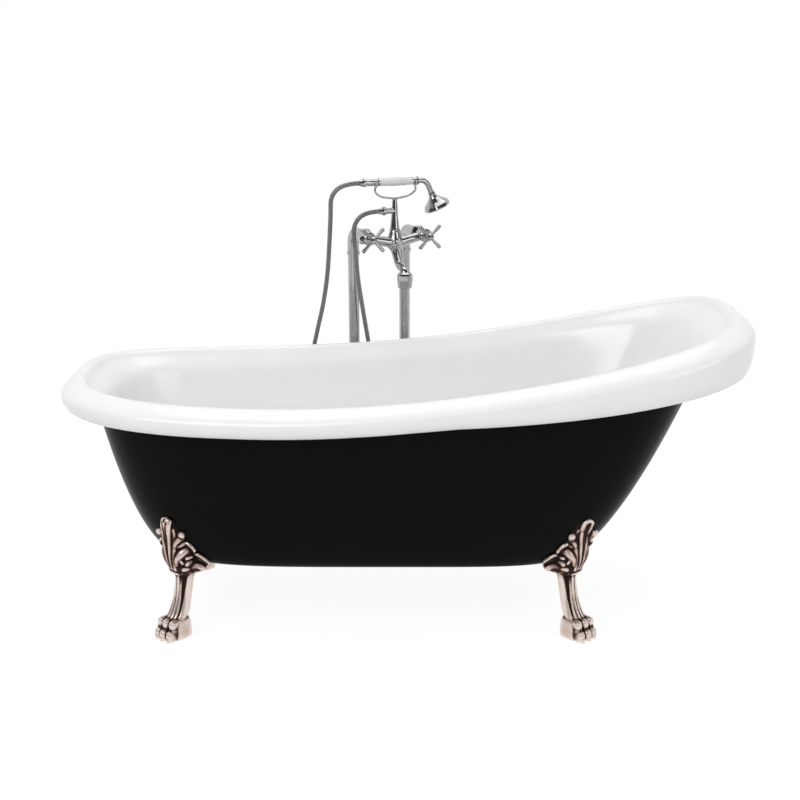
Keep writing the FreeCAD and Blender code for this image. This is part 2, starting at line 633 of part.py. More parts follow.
# ---- Waste, plug and overflow ------------------------------------------------------------------------------
def make_waste():
    seal_top = FLOOR_Z + WASTE_SEAL_T
    flange_top = seal_top + WASTE_FLANGE_T
    centre = V(WASTE_X, 0, 0)

    def at(z):
        return centre.add(V(0, 0, z))

    flange = turned(((TAIL_BORE_R, TAIL_END_Z), (TAIL_R, TAIL_END_Z), (TAIL_R, TAIL_RELIEF_Z),
                     (TAIL_R - 0.6, TAIL_RELIEF_Z), (TAIL_R - 0.6, TAIL_RELIEF_Z + 2.0),
                     (TAIL_R, TAIL_RELIEF_Z + 2.0), (TAIL_R, seal_top),
                     (WASTE_FLANGE_R, seal_top), (WASTE_FLANGE_R - 1.0, flange_top - 1.0),
                     (WASTE_FLANGE_R - 4.0, flange_top), (TAIL_BORE_R, flange_top)), centre, UP)
    for turn in (0, 90):
        bar = Part.makeBox(2 * TAIL_BORE_R + 2.0, 2 * STEM_R, BRIDGE_T,
                           V(-TAIL_BORE_R - 1.0, -STEM_R, BRIDGE_Z))
        bar.rotate(V(0, 0, 0), UP, turn)
        bar.translate(centre)
        flange = flange.fuse(bar)
    flange = flange.fuse(cylinder(CARTRIDGE_R + 3.0, at(BRIDGE_Z), UP, BRIDGE_T))
    flange = flange.cut(cylinder(CARTRIDGE_R + FIT, at(BRIDGE_Z - 1), UP, BRIDGE_T + 2))
    for turn in (45, 135):
        slot = cylinder(4.5, V(-TAIL_R - 2, 0, TEE_PORT_Z), V(1, 0, 0), 2 * TAIL_R + 4)
        slot.rotate(V(0, 0, 0), UP, turn)
        slot.translate(centre)
        flange = flange.cut(slot)
    save("waste_flange", flange.removeSplitter())
    save("waste_seal", pipe_piece(WASTE_FLANGE_R - 2.0, TAIL_R + 0.3, at(FLOOR_Z), UP, WASTE_SEAL_T))
    save("waste_lower_seal", pipe_piece(WASTE_TEE_R + 2.0, TAIL_R + 0.3, at(MID_Z - WASTE_SEAL_T), UP,
                                        WASTE_SEAL_T))
    tee_top = MID_Z - WASTE_SEAL_T
    tee_bottom = tee_top - WASTE_TEE_H
    lip = TAIL_R + 0.3
    chamber = WASTE_TEE_R - 3.5
    tee = turned(((lip, tee_bottom), (WASTE_TEE_R, tee_bottom), (WASTE_TEE_R, tee_top), (lip, tee_top),
                  (lip, tee_top - 6), (chamber, tee_top - 6), (chamber, tee_bottom + 6),
                  (lip, tee_bottom + 6)), centre, UP)
    port = cylinder(OVERFLOW_HOSE_BORE_R - FIT, V(WASTE_X - chamber - 1, 0, TEE_PORT_Z), V(-1, 0, 0),
                    WASTE_TEE_R - chamber + 22)
    bore = cylinder(OVERFLOW_HOSE_BORE_R - 2.0, V(WASTE_X - chamber + 2, 0, TEE_PORT_Z), V(-1, 0, 0),
                    WASTE_TEE_R - chamber + 30)
    save("waste_tee", tee.fuse(port).cut(bore).removeSplitter())
    save("waste_backnut", hexagon(BACKNUT_AF, TAIL_R + FIT, at(tee_bottom), DOWN, BACKNUT_H))
    save("plug_cartridge", pipe_piece(CARTRIDGE_R, STEM_R + RUNNING, at(BRIDGE_Z - 18), UP, 42))
    seal_low = flange_top + 0.3
    cap_low = seal_low + 2.0
    cap = turned(((0, cap_low), (PLUG_R, cap_low), (PLUG_R, cap_low + 1.6),
                  (PLUG_R - 2.5, cap_low + 3.4), (PLUG_R - 10, cap_low + 5.4), (0, cap_low + PLUG_T)),
                 centre, UP)
    save("plug_cap", cap)
    save("plug_seal", pipe_piece(TAIL_BORE_R + 7.0, STEM_R + FIT, at(seal_low), UP, 2.0))
    save("plug_stem", cylinder(STEM_R, at(BRIDGE_Z - 20), UP, cap_low - BRIDGE_Z + 20))


def make_overflow(depths):
    hidden, wet = depths
    seal_t = 1.5
    box_front = hidden - 0.3 - seal_t
    box_back = box_front - OVERFLOW_BOX_T
    half_w = OVERFLOW_BOX_W / 2
    box = Part.makeBox(half_w + OVERFLOW_CHUTE, OVERFLOW_BOX_W, OVERFLOW_BOX_T, V(-half_w, -half_w, box_back))
    room = Part.makeBox(half_w + OVERFLOW_CHUTE - 4, OVERFLOW_BOX_W - 4, OVERFLOW_BOX_T - 4,
                        V(2 - half_w, 2 - half_w, box_back + 2))
    box = box.cut(room).cut(cylinder(OVERFLOW_NECK_R + FIT, V(0, 0, box_back + 3), UP, 20))
    box = box.transformed(OVERFLOW_FACING.toMatrix())
    hose = swept(OVERFLOW_HOSE_ROUTE, OVERFLOW_HOSE_R)
    bore = swept(OVERFLOW_HOSE_ROUTE, OVERFLOW_HOSE_BORE_R)
    first_run = OVERFLOW_HOSE_ROUTE[1].sub(OVERFLOW_HOSE_ROUTE[0]).normalize()
    spigot = pipe_piece(OVERFLOW_HOSE_BORE_R - FIT, OVERFLOW_HOSE_BORE_R - 2.0,
                        OVERFLOW_HOSE_ROUTE[0].sub(first_run * 4.0), first_run, 16)
    box = box.cut(cylinder(OVERFLOW_HOSE_BORE_R - 2.0, OVERFLOW_HOSE_ROUTE[0].sub(first_run * 6.0),
                           first_run, 30)).fuse(spigot)
    box = max(box.Solids, key=lambda solid: solid.Volume)
    save("overflow_box", box)
    save("overflow_hose", hose.cut(bore).cut(box))
    seal = pipe_piece(OVERFLOW_NECK_R + 7.0, OVERFLOW_NECK_R + 0.3, V(0, 0, box_front), UP, seal_t)
    save("overflow_back_seal", seal.transformed(OVERFLOW_FACING.toMatrix()))
    seal = pipe_piece(OVERFLOW_NECK_R + 10.0, OVERFLOW_NECK_R + 0.3, V(0, 0, wet + 0.6), UP, seal_t)
    save("overflow_front_seal", seal.transformed(OVERFLOW_FACING.toMatrix()))
    low = wet + 0.6 + seal_t
    cover = turned(((OVERFLOW_NECK_R - 3.0, box_back + 4), (OVERFLOW_NECK_R, box_back + 4),
                    (OVERFLOW_NECK_R, low), (OVERFLOW_COVER_R, low), (OVERFLOW_COVER_R, low + 2),
                    (OVERFLOW_COVER_R - 3, low + 5), (OVERFLOW_COVER_R - 9, low + OVERFLOW_COVER_T),
                    (0, low + OVERFLOW_COVER_T), (0, low + 3), (OVERFLOW_NECK_R - 3.0, low + 3)),
                   V(0, 0, 0), UP)
    for i in range(6):
        angle = math.radians(60 * i)
        hole = cylinder(2.6, V(8.5 * math.cos(angle), 8.5 * math.sin(angle), low), UP, 20)
        cover = cover.cut(hole)
    save("overflow_cover", cover.transformed(OVERFLOW_FACING.toMatrix()))


# ---- Standpipes ------------------------------------------------------------------------------------------
SIDES = (("left", -1), ("right", 1))


def make_standpipes():
    rings = []
    nuts = []
    for side, sign in SIDES:
        x = sign * PIPE_HALF_SPACING
        foot = V(x, 0, 0)
        tube = pipe_piece(PIPE_R, PIPE_BORE_R, foot, UP, PIPE_TOP_Z)
        socket = pipe_piece(PIPE_R - 0.5, SOCKET_R, foot, UP, SOCKET_DEPTH)
        save("standpipe_" + side, on_filler(tube.fuse(socket).removeSplitter()))
        flange = turned(((PIPE_R + FIT, 0), (FLOOR_FLANGE_R, 0), (FLOOR_FLANGE_R, FLOOR_FLANGE_T - 2),
                         (FLOOR_FLANGE_R - 2, FLOOR_FLANGE_T), (PIPE_R + 3.5, FLOOR_FLANGE_T),
                         (PIPE_R + 2.5, FLOOR_FLANGE_T + 12), (PIPE_R + FIT, FLOOR_FLANGE_T + 14)),
                        foot, UP)
        for i in range(FLANGE_HOLES):
            angle = math.radians(360.0 * i / FLANGE_HOLES + 90.0)
            place = foot.add(V(math.cos(angle), math.sin(angle), 0) * (FLANGE_HOLES_PCD / 2))
            flange = flange.cut(cylinder(FLANGE_HOLE_R, place, UP, 50))
        save("floor_flange_" + side, on_filler(flange))
        ring = cylinder(COUPLING_R, V(x, 0, PIPE_TOP_Z - COUPLING_H / 2), UP, COUPLING_H)
        ring = ring.makeFillet(1.5, [ring.Edges[0], ring.Edges[2]])
        ring = ring.cut(cylinder(PIPE_R + FIT, V(x, 0, PIPE_TOP_Z - COUPLING_H), UP, COUPLING_H))
        ring = ring.cut(cylinder(ELBOW_R + FIT, V(x, 0, PIPE_TOP_Z), UP, COUPLING_H))
        rings.append(on_filler(ring))
        bend = [V(x, 0, PIPE_TOP_Z), V(x, 0, INLET_Z), V(x, VALVE_BACK_Y, INLET_Z)]
        outside = swept(bend, ELBOW_R, [ELBOW_BEND])
        inside = swept(bend, ELBOW_R - 4.0, [ELBOW_BEND])
        save("elbow_" + side, on_filler(outside.cut(inside)))
        nuts.append(on_filler(hexagon(UNION_NUT_AF, ELBOW_R + FIT, V(x, VALVE_BACK_Y, INLET_Z),
                                      V(0, 1, 0), UNION_NUT_H)))
    save("coupling_rings", Part.makeCompound(rings))
    save("union_nuts", Part.makeCompound(nuts))


# ---- Mixing body, valves and handles -----------------------------------------------------------------------
FRONT = V(0, -1, 0)


def hub_solid():
    return turned(((0, HUB_BOTTOM_Z), (HUB_R - 7, HUB_BOTTOM_Z), (HUB_R - 1, HUB_BOTTOM_Z + 7),
                   (HUB_R, HUB_BOTTOM_Z + 14), (HUB_R, HUB_Z + 10), (HUB_R - 3, HUB_TOP_Z - 12),
                   (HUB_R - 5, HUB_TOP_Z - 3), (HUB_R - 6, HUB_TOP_Z), (0, HUB_TOP_Z)),
                  V(0, BODY_Y, 0), UP)


def make_body():
    body = hub_solid()
    for side, sign in SIDES:
        x = sign * VALVE_X
        arm_start = V(sign * (HUB_R - 6), BODY_Y, HUB_Z)
        arm_end = V(x, BODY_Y, INLET_Z - 2)
        along = arm_end.sub(arm_start)
        arm = Part.makeCone(ARM_R + 2.0, ARM_R - 1.0, along.Length, arm_start, along)
        housing = cylinder(VALVE_R, V(x, VALVE_BACK_Y, INLET_Z), FRONT, VALVE_BACK_Y - VALVE_FRONT_Y)
        body = body.fuse([arm, housing])
    for side, sign in SIDES:
        x = sign * VALVE_X
        seat = V(x, VALVE_FRONT_Y + 34.0, INLET_Z)
        body = body.cut(cylinder(CARTRIDGE_BORE_R, seat, FRONT, 40))
        body = body.cut(cylinder(CARTRIDGE_BORE_R - 2.0, V(x, VALVE_BACK_Y + 5, INLET_Z), FRONT, 20))
    diverter_bore = cylinder(4.0 + RUNNING, V(0, BODY_Y, HUB_Z + 4), FRONT, 40)
    save("mixer_body", on_filler(body.cut(diverter_bore).removeSplitter()))


def cross_handle():
    """A hub with four flared arms, about its own axis +Z, its back face at 0."""
    handle = turned(((SPINDLE_R + FIT, 0), (HANDLE_HUB_R - 1.5, 0), (HANDLE_HUB_R, 3),
                     (HANDLE_HUB_R, HANDLE_HUB_H - 3), (HANDLE_HUB_R - 2, HANDLE_HUB_H),
                     (0, HANDLE_HUB_H), (0, HANDLE_HUB_H - 4), (SPINDLE_R + FIT, HANDLE_HUB_H - 4)),
                    V(0, 0, 0), UP)
    arm_from = HANDLE_HUB_R - 1.5
    for i in range(4):
        angle = math.radians(45 + 90 * i)
        out = V(math.cos(angle), math.sin(angle), 0)
        middle = V(0, 0, HANDLE_HUB_H / 2)
        tip = middle.add(out * (HANDLE_REACH - HANDLE_TIP_R))
        length = HANDLE_REACH - HANDLE_TIP_R - arm_from
        arm = Part.makeCone(HANDLE_ARM_R, HANDLE_TIP_R, length, middle.add(out * arm_from), out)
        handle = handle.fuse([arm, Part.makeSphere(HANDLE_TIP_R, tip)])
    return handle


def make_valves():
    for side, sign in SIDES:
        x = sign * VALVE_X
        front = V(x, VALVE_FRONT_Y, INLET_Z)
        hub_back = front.add(FRONT * (BONNET_LENGTH + HANDLE_GAP))
        cartridge = pipe_piece(CARTRIDGE_BORE_R - FIT, SPINDLE_R + RUNNING, front.sub(FRONT * 20), FRONT,
                               23)
        base = cylinder(CARTRIDGE_BORE_R - FIT, front.sub(FRONT * 33), FRONT, 13)
        save("valve_cartridge_" + side, on_filler(cartridge.fuse(base).removeSplitter()))
        bonnet = turned(((CARTRIDGE_BORE_R + FIT, 0), (VALVE_R - 0.5, 0), (VALVE_R - 0.5, 5),
                         (VALVE_R - 3.5, 7), (VALVE_R - 5, 12), (HANDLE_HUB_R + 0.5, BONNET_LENGTH - 3),
                         (HANDLE_HUB_R - 1, BONNET_LENGTH), (SPINDLE_R + 0.5, BONNET_LENGTH),
                         (SPINDLE_R + 0.5, 4), (CARTRIDGE_BORE_R + FIT, 4)), front, FRONT)
        save("valve_bonnet_" + side, on_filler(bonnet))
        spindle = cylinder(SPINDLE_R, front.sub(FRONT * 19.5), FRONT,
                           19.5 + BONNET_LENGTH + HANDLE_GAP + HANDLE_HUB_H - 5)
        save("valve_spindle_" + side, on_filler(spindle))
        save("cross_handle_" + side, on_filler(placed(cross_handle(), hub_back, FRONT)))
        cap = turned(((0, 0), (INDEX_R, 0), (INDEX_R, INDEX_T - 1.2), (INDEX_R - 2.5, INDEX_T - 0.3),
                      (0, INDEX_T)), hub_back.add(FRONT * HANDLE_HUB_H), FRONT)
        save("index_cap_" + side, on_filler(cap))
    knob = turned(((0, -16), (4.0, -16), (4.0, HANDLE_GAP), (DIVERTER_R - 2, HANDLE_GAP),
                   (DIVERTER_R, HANDLE_GAP + 3), (DIVERTER_R, DIVERTER_H - 3),
                   (DIVERTER_R - 3, DIVERTER_H), (0, DIVERTER_H)), V(0, BODY_Y - HUB_R, HUB_Z + 4), FRONT)
    pointer = cylinder(2.2, V(0, BODY_Y - HUB_R - DIVERTER_H / 2, HUB_Z + 4), V(0, 0, -1),
                       DIVERTER_R + 6)
    save("diverter_knob", on_filler(knob.fuse(pointer)))


# ---- Spout, riser post and cradle -----------------------------------------------------------------------------
def make_spout():
    route = [V(0, BODY_Y + 8, HUB_Z - 12), V(0, -152, SPOUT_KNEE_Z), V(0, NOZZLE_Y, NOZZLE_TOP_Z + 3),
             V(0, NOZZLE_Y, NOZZLE_TOP_Z - 18)]
    tube = swept(route, SPOUT_R, [30.0, 15.0])
    bore = swept(route, SPOUT_BORE_R, [30.0, 15.0])
    spout = tube.cut(bore).cut(hub_solid())
    save("spout", on_filler(max(spout.Solids, key=lambda solid: solid.Volume)))
    height = NOZZLE_TOP_Z - NOZZLE_BOTTOM_Z
    nozzle = turned(((NOZZLE_BORE_R, 0), (NOZZLE_END_R, 0), (NOZZLE_R, height * 0.5),
                     (NOZZLE_R, height - 9), (NOZZLE_R - 3, height - 4), (SPOUT_R + 2, height),
                     (SPOUT_R + FIT, height), (SPOUT_R + FIT, height - 18.5),
                     (NOZZLE_BORE_R, height - 22)), V(0, NOZZLE_Y, NOZZLE_BOTTOM_Z), UP)
    nozzle = nozzle.cut(tube)
    save("spout_nozzle", on_filler(max(nozzle.Solids, key=lambda solid: solid.Volume)))
    aerator = cylinder(NOZZLE_BORE_R - FIT, V(0, NOZZLE_Y, NOZZLE_BOTTOM_Z + 2), UP, AERATOR_T)
    for radius, count in ((0.0, 1), (5.0, 6), (10.0, 12)):
        for i in range(count):
            angle = 2 * math.pi * i / count
            place = V(radius * math.cos(angle), NOZZLE_Y + radius * math.sin(angle), NOZZLE_BOTTOM_Z)
            aerator = aerator.cut(cylinder(1.3, place, UP, 20))
    save("aerator", on_filler(aerator))


def make_post():
    height = POST_TOP_Z - HUB_TOP_Z
    post = turned(((0, 0), (POST_BASE_R + 1, 0), (POST_BASE_R + 1, 3), (POST_BASE_R, 5),
                   (POST_TOP_R + 2.6, height * 0.48), (POST_TOP_R, height), (0, height)),
                  V(0, BODY_Y, HUB_TOP_Z), UP)
    outlet = cylinder(OUTLET_R, V(0, BODY_Y, OUTLET_Z), V(-1, 0, 0), OUTLET_REACH)
    save("riser_post", on_filler(post.fuse(outlet).removeSplitter()))
    save("post_hose_nut", on_filler(hose_nut(V(-OUTLET_REACH, BODY_Y, OUTLET_Z))))
    hold = COLLAR_R + SEAT_GAP + CRADLE_BAR_R
    left, right = SADDLE_X
    low = HANDSET_Z - hold
    bar_route = [V(left, BODY_Y, low), V(left - 3, BODY_Y, low - 13), V(left + 14, BODY_Y, low - 27),
                 V(0, BODY_Y, POST_TOP_Z + 3), V(right - 16, BODY_Y, low - 27),
                 V(right + 3, BODY_Y, low - 13), V(right, BODY_Y, low)]
    cradle = swept(bar_route, CRADLE_BAR_R)
    for x in SADDLE_X:
        ends = [V(x, BODY_Y + sign * hold, HANDSET_Z) for sign in (-1, 1)]
        curve = Part.Wire([Part.Arc(ends[0], V(x, BODY_Y, low), ends[1]).toShape()])
        section = Part.Wire(Part.makeCircle(CRADLE_BAR_R, ends[0], UP))
        cradle = cradle.fuse([curve.makePipeShell([section], True, False),
                              Part.makeSphere(CRADLE_BAR_R, ends[0]),
                              Part.makeSphere(CRADLE_BAR_R, ends[1])])
    seat = cylinder(POST_TOP_R + 0.6, V(0, BODY_Y, POST_TOP_Z), UP, 6)
    save("cradle", on_filler(cradle.fuse(seat)))


def hose_nut(start):
    """The conical nut on a hose's end, pointing along -X from its seat."""
    return turned(((0, 0), (HOSE_NUT_R - 2.5, 0), (HOSE_NUT_R, 2), (HOSE_NUT_R, 8), (HOSE_NUT_R - 2, 10),
                   (HOSE_R + 0.8, HOSE_NUT_L), (0, HOSE_NUT_L)), start, V(-1, 0, 0))


# ---- Handset ------------------------------------------------------------------------------------------------
def make_handset():
    axis = V(1, 0, 0)

    def at(x):
        return V(x, BODY_Y, HANDSET_Z)

    length = GRIP_TO_X - GRIP_FROM_X
    core = 5.0
    swell = Part.Arc(V(GRIP_R, 0, 0), V(GRIP_R + GRIP_SWELL, 0, length / 2), V(GRIP_R, 0, length))
    outline = [swell.toShape(), Part.makeLine(V(GRIP_R, 0, length), V(core, 0, length)),
               Part.makeLine(V(core, 0, length), V(core, 0, 0)),
               Part.makeLine(V(core, 0, 0), V(GRIP_R, 0, 0))]
    grip = Part.Face(Part.Wire(outline)).revolve(V(0, 0, 0), UP, 360)
    save("handset_grip", on_filler(placed(grip, at(GRIP_FROM_X), axis)))
    length = GRIP_FROM_X - TAIL_COLLAR_X
    collar = turned(((0, 0), (COLLAR_R - 1.5, 0), (COLLAR_R + 0.5, 4), (COLLAR_R + 1, 17),
                     (COLLAR_R, 20), (COLLAR_R, length - 5), (GRIP_R + 0.8, length - 3.5),
                     (GRIP_R + 0.8, length), (0, length)), at(TAIL_COLLAR_X), axis)
    save("handset_tail_collar", on_filler(collar))
    length = NECK_COLLAR_X - GRIP_TO_X
    collar = turned(((0, 0), (GRIP_R + 0.8, 0), (GRIP_R + 0.8, 2.5), (COLLAR_R, 3.5),
                     (COLLAR_R, length - 4), (COLLAR_R + 3, length - 2), (COLLAR_R + 3, length),
                     (0, length)), at(GRIP_TO_X), axis)
    lean = math.radians(BELL_TILT)
    down = V(math.sin(lean), 0, -math.cos(lean))
    corner = at(NECK_COLLAR_X + 24)
    end = corner.add(down * 36)
    neck = swept([at(NECK_COLLAR_X - 1), corner, end], NECK_R, [24.0])
    save("handset_neck", on_filler(collar.fuse(neck).removeSplitter()))
    bell = turned(((0, 0), (NECK_R + 1.5, 0), (NECK_R + 2.5, 3), (NECK_R + 2.5, 6), (NECK_R + 1.5, 8),
                   (NECK_R + 6, 15), (NECK_R + 15.5, 25), (BELL_R - 3, 33), (BELL_R, BELL_DEPTH - 3),
                   (BELL_R, BELL_DEPTH), (BELL_R - BELL_WALL, BELL_DEPTH),
                   (BELL_R - BELL_WALL, BELL_DEPTH - 5), (BELL_R - 5, 35), (NECK_R + 13.5, 27.5),
                   (NECK_R + 4, 17), (0, 14)), end, down)
    save("handset_bell", on_filler(bell))
    plate_r = BELL_R - BELL_WALL - FIT
    plate = cylinder(plate_r, V(0, 0, 0), UP, SPRAY_PLATE_T)
    holes = []
    for radius, count in SPRAY_RINGS:
        for i in range(count):
            angle = 2 * math.pi * i / count
            place = V(radius * math.cos(angle), radius * math.sin(angle), -1)
            holes.append(cylinder(SPRAY_HOLE_R, place, UP, SPRAY_PLATE_T + 2))
    plate = placed(plate.cut(holes), end.add(down * (BELL_DEPTH - SPRAY_PLATE_T - 1.5)), down)
    save("spray_plate", on_filler(plate))
    save("handset_hose_nut", on_filler(hose_nut(at(TAIL_COLLAR_X))))


# ---- Hose: from the handset it hangs in a long loop behind the bath and comes back to the post ----------------
HOSE_LENGTH = 1500.0
HANDSET_END = on_filler(Part.Vertex(V(TAIL_COLLAR_X - HOSE_NUT_L, BODY_Y, HANDSET_Z))).Point
POST_END = on_filler(Part.Vertex(V(-OUTLET_REACH - HOSE_NUT_L, BODY_Y, OUTLET_Z))).Point
HOSE_LEAVES = FILLER.Rotation.multVec(V(-1, 0, 0))
HOSE_ROUTE = [HANDSET_END, HANDSET_END.add(HOSE_LEAVES * 44), V(-195, 260, 1036), V(-197, 286, 985),
              V(-203, 307, 905), V(-210, 327, 820), V(-225, 352, 730), V(-244, 374, 655),
              V(-259, 383, 590), V(-267, 383.5, 525), V(-264, 380, 470), V(-245, 372, 418),
              V(-206, 366, 394), V(-159, 366, 397), V(-117, 370, 430), V(-97, 377, 480),
              V(-94, 381.5, 535), V(-99, 382.4, 595), V(-110, 376, 665), V(-121, 361, 740),
              V(-130, 337, 812), V(-132, 307, 878), V(-137, 290, 915), V(-136, 274.5, 960),
              POST_END.add(HOSE_LEAVES * 40), POST_END]


def make_hose():
    """The hose, and its length and bends for the builder."""
    hose = swept(HOSE_ROUTE, HOSE_R)
    route, radii = rounded_route(HOSE_ROUTE)
    section = math.pi * HOSE_R ** 2
    print("hose bends", [round(radius) for radius in radii])
    print("hose length", round(route.Length), "of", HOSE_LENGTH,
          "volume ratio", round(hose.Volume / (section * route.Length), 4))
    save("shower_hose", hose)


wall_depths = make_shells()
make_feet()
make_waste()
make_overflow(wall_depths)
make_standpipes()
make_body()
make_valves()
make_spout()
make_post()
make_handset()
make_hose()
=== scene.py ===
import math

import bmesh
import bpy
import numpy
from mathutils import Matrix, Vector
from mathutils.bvhtree import BVHTree
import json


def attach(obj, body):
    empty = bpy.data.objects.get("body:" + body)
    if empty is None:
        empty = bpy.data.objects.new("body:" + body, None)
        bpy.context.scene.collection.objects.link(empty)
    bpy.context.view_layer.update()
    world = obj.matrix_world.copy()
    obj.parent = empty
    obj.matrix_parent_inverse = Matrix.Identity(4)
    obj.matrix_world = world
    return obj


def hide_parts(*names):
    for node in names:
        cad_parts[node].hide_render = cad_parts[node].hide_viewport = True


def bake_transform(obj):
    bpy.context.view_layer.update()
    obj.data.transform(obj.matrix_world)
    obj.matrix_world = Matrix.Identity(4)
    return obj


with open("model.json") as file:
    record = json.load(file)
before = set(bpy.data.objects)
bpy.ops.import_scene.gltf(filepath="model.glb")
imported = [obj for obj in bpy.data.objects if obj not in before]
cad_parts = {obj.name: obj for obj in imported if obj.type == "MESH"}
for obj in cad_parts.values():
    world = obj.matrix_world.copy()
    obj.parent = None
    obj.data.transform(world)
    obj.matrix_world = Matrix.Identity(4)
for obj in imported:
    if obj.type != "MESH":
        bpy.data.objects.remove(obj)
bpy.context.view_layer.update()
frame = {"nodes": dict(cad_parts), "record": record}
nodes = frame["nodes"]

# ---- Camera: square to the bath's long side, a little above it --------------------------------------
ELEVATION = math.radians(18.88)
DISTANCE = 3.5
TARGET = Vector((0.0, -0.055, 0.35))
camera_data = bpy.data.cameras.new("camera")
camera_data.lens = 60.62
camera_data.sensor_width = 36.0
camera_data.shift_x = -0.0064
camera_data.shift_y = 0.095
camera_data.clip_end = 50.0
camera = bpy.data.objects.new("camera", camera_data)
camera.location = TARGET + DISTANCE * Vector((0.0, -math.cos(ELEVATION), math.sin(ELEVATION)))
camera.rotation_euler = (math.pi / 2 - ELEVATION, 0.0, 0.0)
bpy.context.scene.collection.objects.link(camera)
bpy.context.scene.camera = camera
bpy.context.scene.view_settings.view_transform = "Standard"


# ---- Node helpers --------------------------------------------------------------------------------------
def new_material(name):
    material = bpy.data.materials.new(name)
    material.use_nodes = True
    tree = material.node_tree
    tree.nodes.clear()
    return material, tree


class Maker:
    """Adds nodes to a tree in short calls."""

    def __init__(self, tree):
        self.tree = tree

    def add(self, kind, inputs=None, **settings):
        node = self.tree.nodes.new(kind)
        for name, value in settings.items():
            setattr(node, name, value)
        for name, value in (inputs or {}).items():
            if isinstance(value, bpy.types.NodeSocket):
                self.tree.links.new(value, node.inputs[name])
            else:
                node.inputs[name].default_value = value
        return node

    def noise(self, vector, scale, detail=3.0, roughness=0.55):
        node = self.add("ShaderNodeTexNoise", {"Vector": vector, "Scale": scale, "Detail": detail,
                                               "Roughness": roughness})
        return node.outputs["Fac"]

    def ramp(self, value, stops):
        node = self.add("ShaderNodeValToRGB", {"Fac": value})
        elements = node.color_ramp.elements
        while len(elements) < len(stops):
            elements.new(0.5)
        for element, (position, colour) in zip(elements, stops):
            element.position = position
            element.color = (*colour, 1.0)
        return node.outputs["Color"]

    def spread(self, value, low, high):
        node = self.add("ShaderNodeMapRange", {"Value": value, "To Min": low, "To Max": high})
        return node.outputs["Result"]

    def bump(self, height, distance):
        return self.add("ShaderNodeBump", {"Height": height, "Distance": distance,
                                           "Strength": 1.0}).outputs["Normal"]


ROUGH_SCALE = 3.1           # the roughness is this much finer in pattern than the colour
BUMP_SCALE = 900.0


def surface(name, low, high, rough, scale, metallic=0.0, bump=0.0, bump_scale=BUMP_SCALE, specular=0.5):
    """A finish whose colour runs between two tones, with uneven roughness and, where a bump is given, a fine
    bump.
    """
    material, tree = new_material(name)
    make = Maker(tree)
    place = make.add("ShaderNodeTexCoord").outputs["Object"]
    mottle = make.noise(place, scale, 4.0)
    colour = make.ramp(mottle, ((0.3, low), (0.7, high)))
    inputs = {"Base Color": colour, "Metallic": metallic, "Specular IOR Level": specular,
              "Roughness": make.spread(make.noise(place, scale * ROUGH_SCALE), *rough)}
    if bump:
        inputs["Normal"] = make.bump(make.noise(place, bump_scale, 2.0), bump)
    shader = make.add("ShaderNodeBsdfPrincipled", inputs)
    make.add("ShaderNodeOutputMaterial", {"Surface": shader.outputs["BSDF"]})
    return material


white_gloss = surface("white_gloss", (0.80, 0.80, 0.795), (0.83, 0.83, 0.825), (0.10, 0.16), 6.0,
                      bump=0.00003, bump_scale=26.0)
black_gloss = surface("black_gloss", (0.0022, 0.0022, 0.0023), (0.0030, 0.0030, 0.0032), (0.26, 0.34), 9.0,
                      bump=0.00003, bump_scale=30.0, specular=0.05)
chrome = surface("chrome", (0.37, 0.375, 0.385), (0.43, 0.435, 0.445), (0.06, 0.12), 30.0, metallic=1.0)
hose_metal = surface("hose_metal", (0.20, 0.203, 0.21), (0.26, 0.263, 0.27), (0.30, 0.42), 120.0,
                     metallic=1.0)


MOTTLE_SCALE = 55.0
MOTTLE_SHARE = 0.55
PATINA_AND_SHADE_SHARE = 0.5
LEAF_FROM_Z = 0.15          # painted shade: the leaf, high under the bath, is darker than the leg; its darkness value rises between these heights
LEAF_FULL_Z = 0.20
LEG_TONE = 0.49
LEAF_SHADED_TONE = 0.78
GRAIN_SCALE = 700.0
GRAIN_DEPTH = 0.00018


def antique_bronze():
    """Rubbed bright on the ridges, with dark brown patina in concave places, painted shade under and up the
    leaf, and a cast grain.
    """
    material, tree = new_material("antique_bronze")
    make = Maker(tree)
    place = make.add("ShaderNodeTexCoord").outputs["Object"]
    patina_and_shade_value = make.add("ShaderNodeAttribute", attribute_name="hollow_and_shade").outputs["Fac"]
    mottle = make.noise(place, MOTTLE_SCALE, 5.0, 0.6)
    uneven = make.add("ShaderNodeMath", {0: mottle, 1: 0.5}, operation="SUBTRACT").outputs[0]
    patina_and_shade = make.add("ShaderNodeMath", {0: uneven, 1: MOTTLE_SHARE, 2: patina_and_shade_value},
                    operation="MULTIPLY_ADD").outputs[0]
    height = make.add("ShaderNodeSeparateXYZ", {0: place}).outputs["Z"]
    # Painted shade: the leaf, high under the bath, is made darker than the leg.
    leaf = make.add("ShaderNodeMapRange", {"Value": height, "From Min": LEAF_FROM_Z,
                                           "From Max": LEAF_FULL_Z, "To Min": LEG_TONE,
                                           "To Max": LEAF_SHADED_TONE}).outputs["Result"]
    patina_and_shade = make.add("ShaderNodeMath", {0: patina_and_shade, 1: PATINA_AND_SHADE_SHARE, 2: leaf},
                    operation="MULTIPLY_ADD").outputs[0]
    colour = make.ramp(patina_and_shade, ((0.22, (0.84, 0.72, 0.66)), (0.46, (0.66, 0.52, 0.46)),
                              (0.58, (0.34, 0.22, 0.185)), (0.72, (0.085, 0.042, 0.034)),
                              (0.88, (0.018, 0.010, 0.009))))
    rough = make.add("ShaderNodeMapRange", {"Value": patina_and_shade, "From Min": 0.3, "From Max": 0.75,
                                            "To Min": 0.30, "To Max": 0.62}).outputs["Result"]
    grain = make.bump(make.noise(place, GRAIN_SCALE), GRAIN_DEPTH)
    shader = make.add("ShaderNodeBsdfPrincipled", {"Base Color": colour, "Roughness": rough, "Metallic": 0.75,
                                                   "Normal": grain})
    make.add("ShaderNodeOutputMaterial", {"Surface": shader.outputs["BSDF"]})
    return material


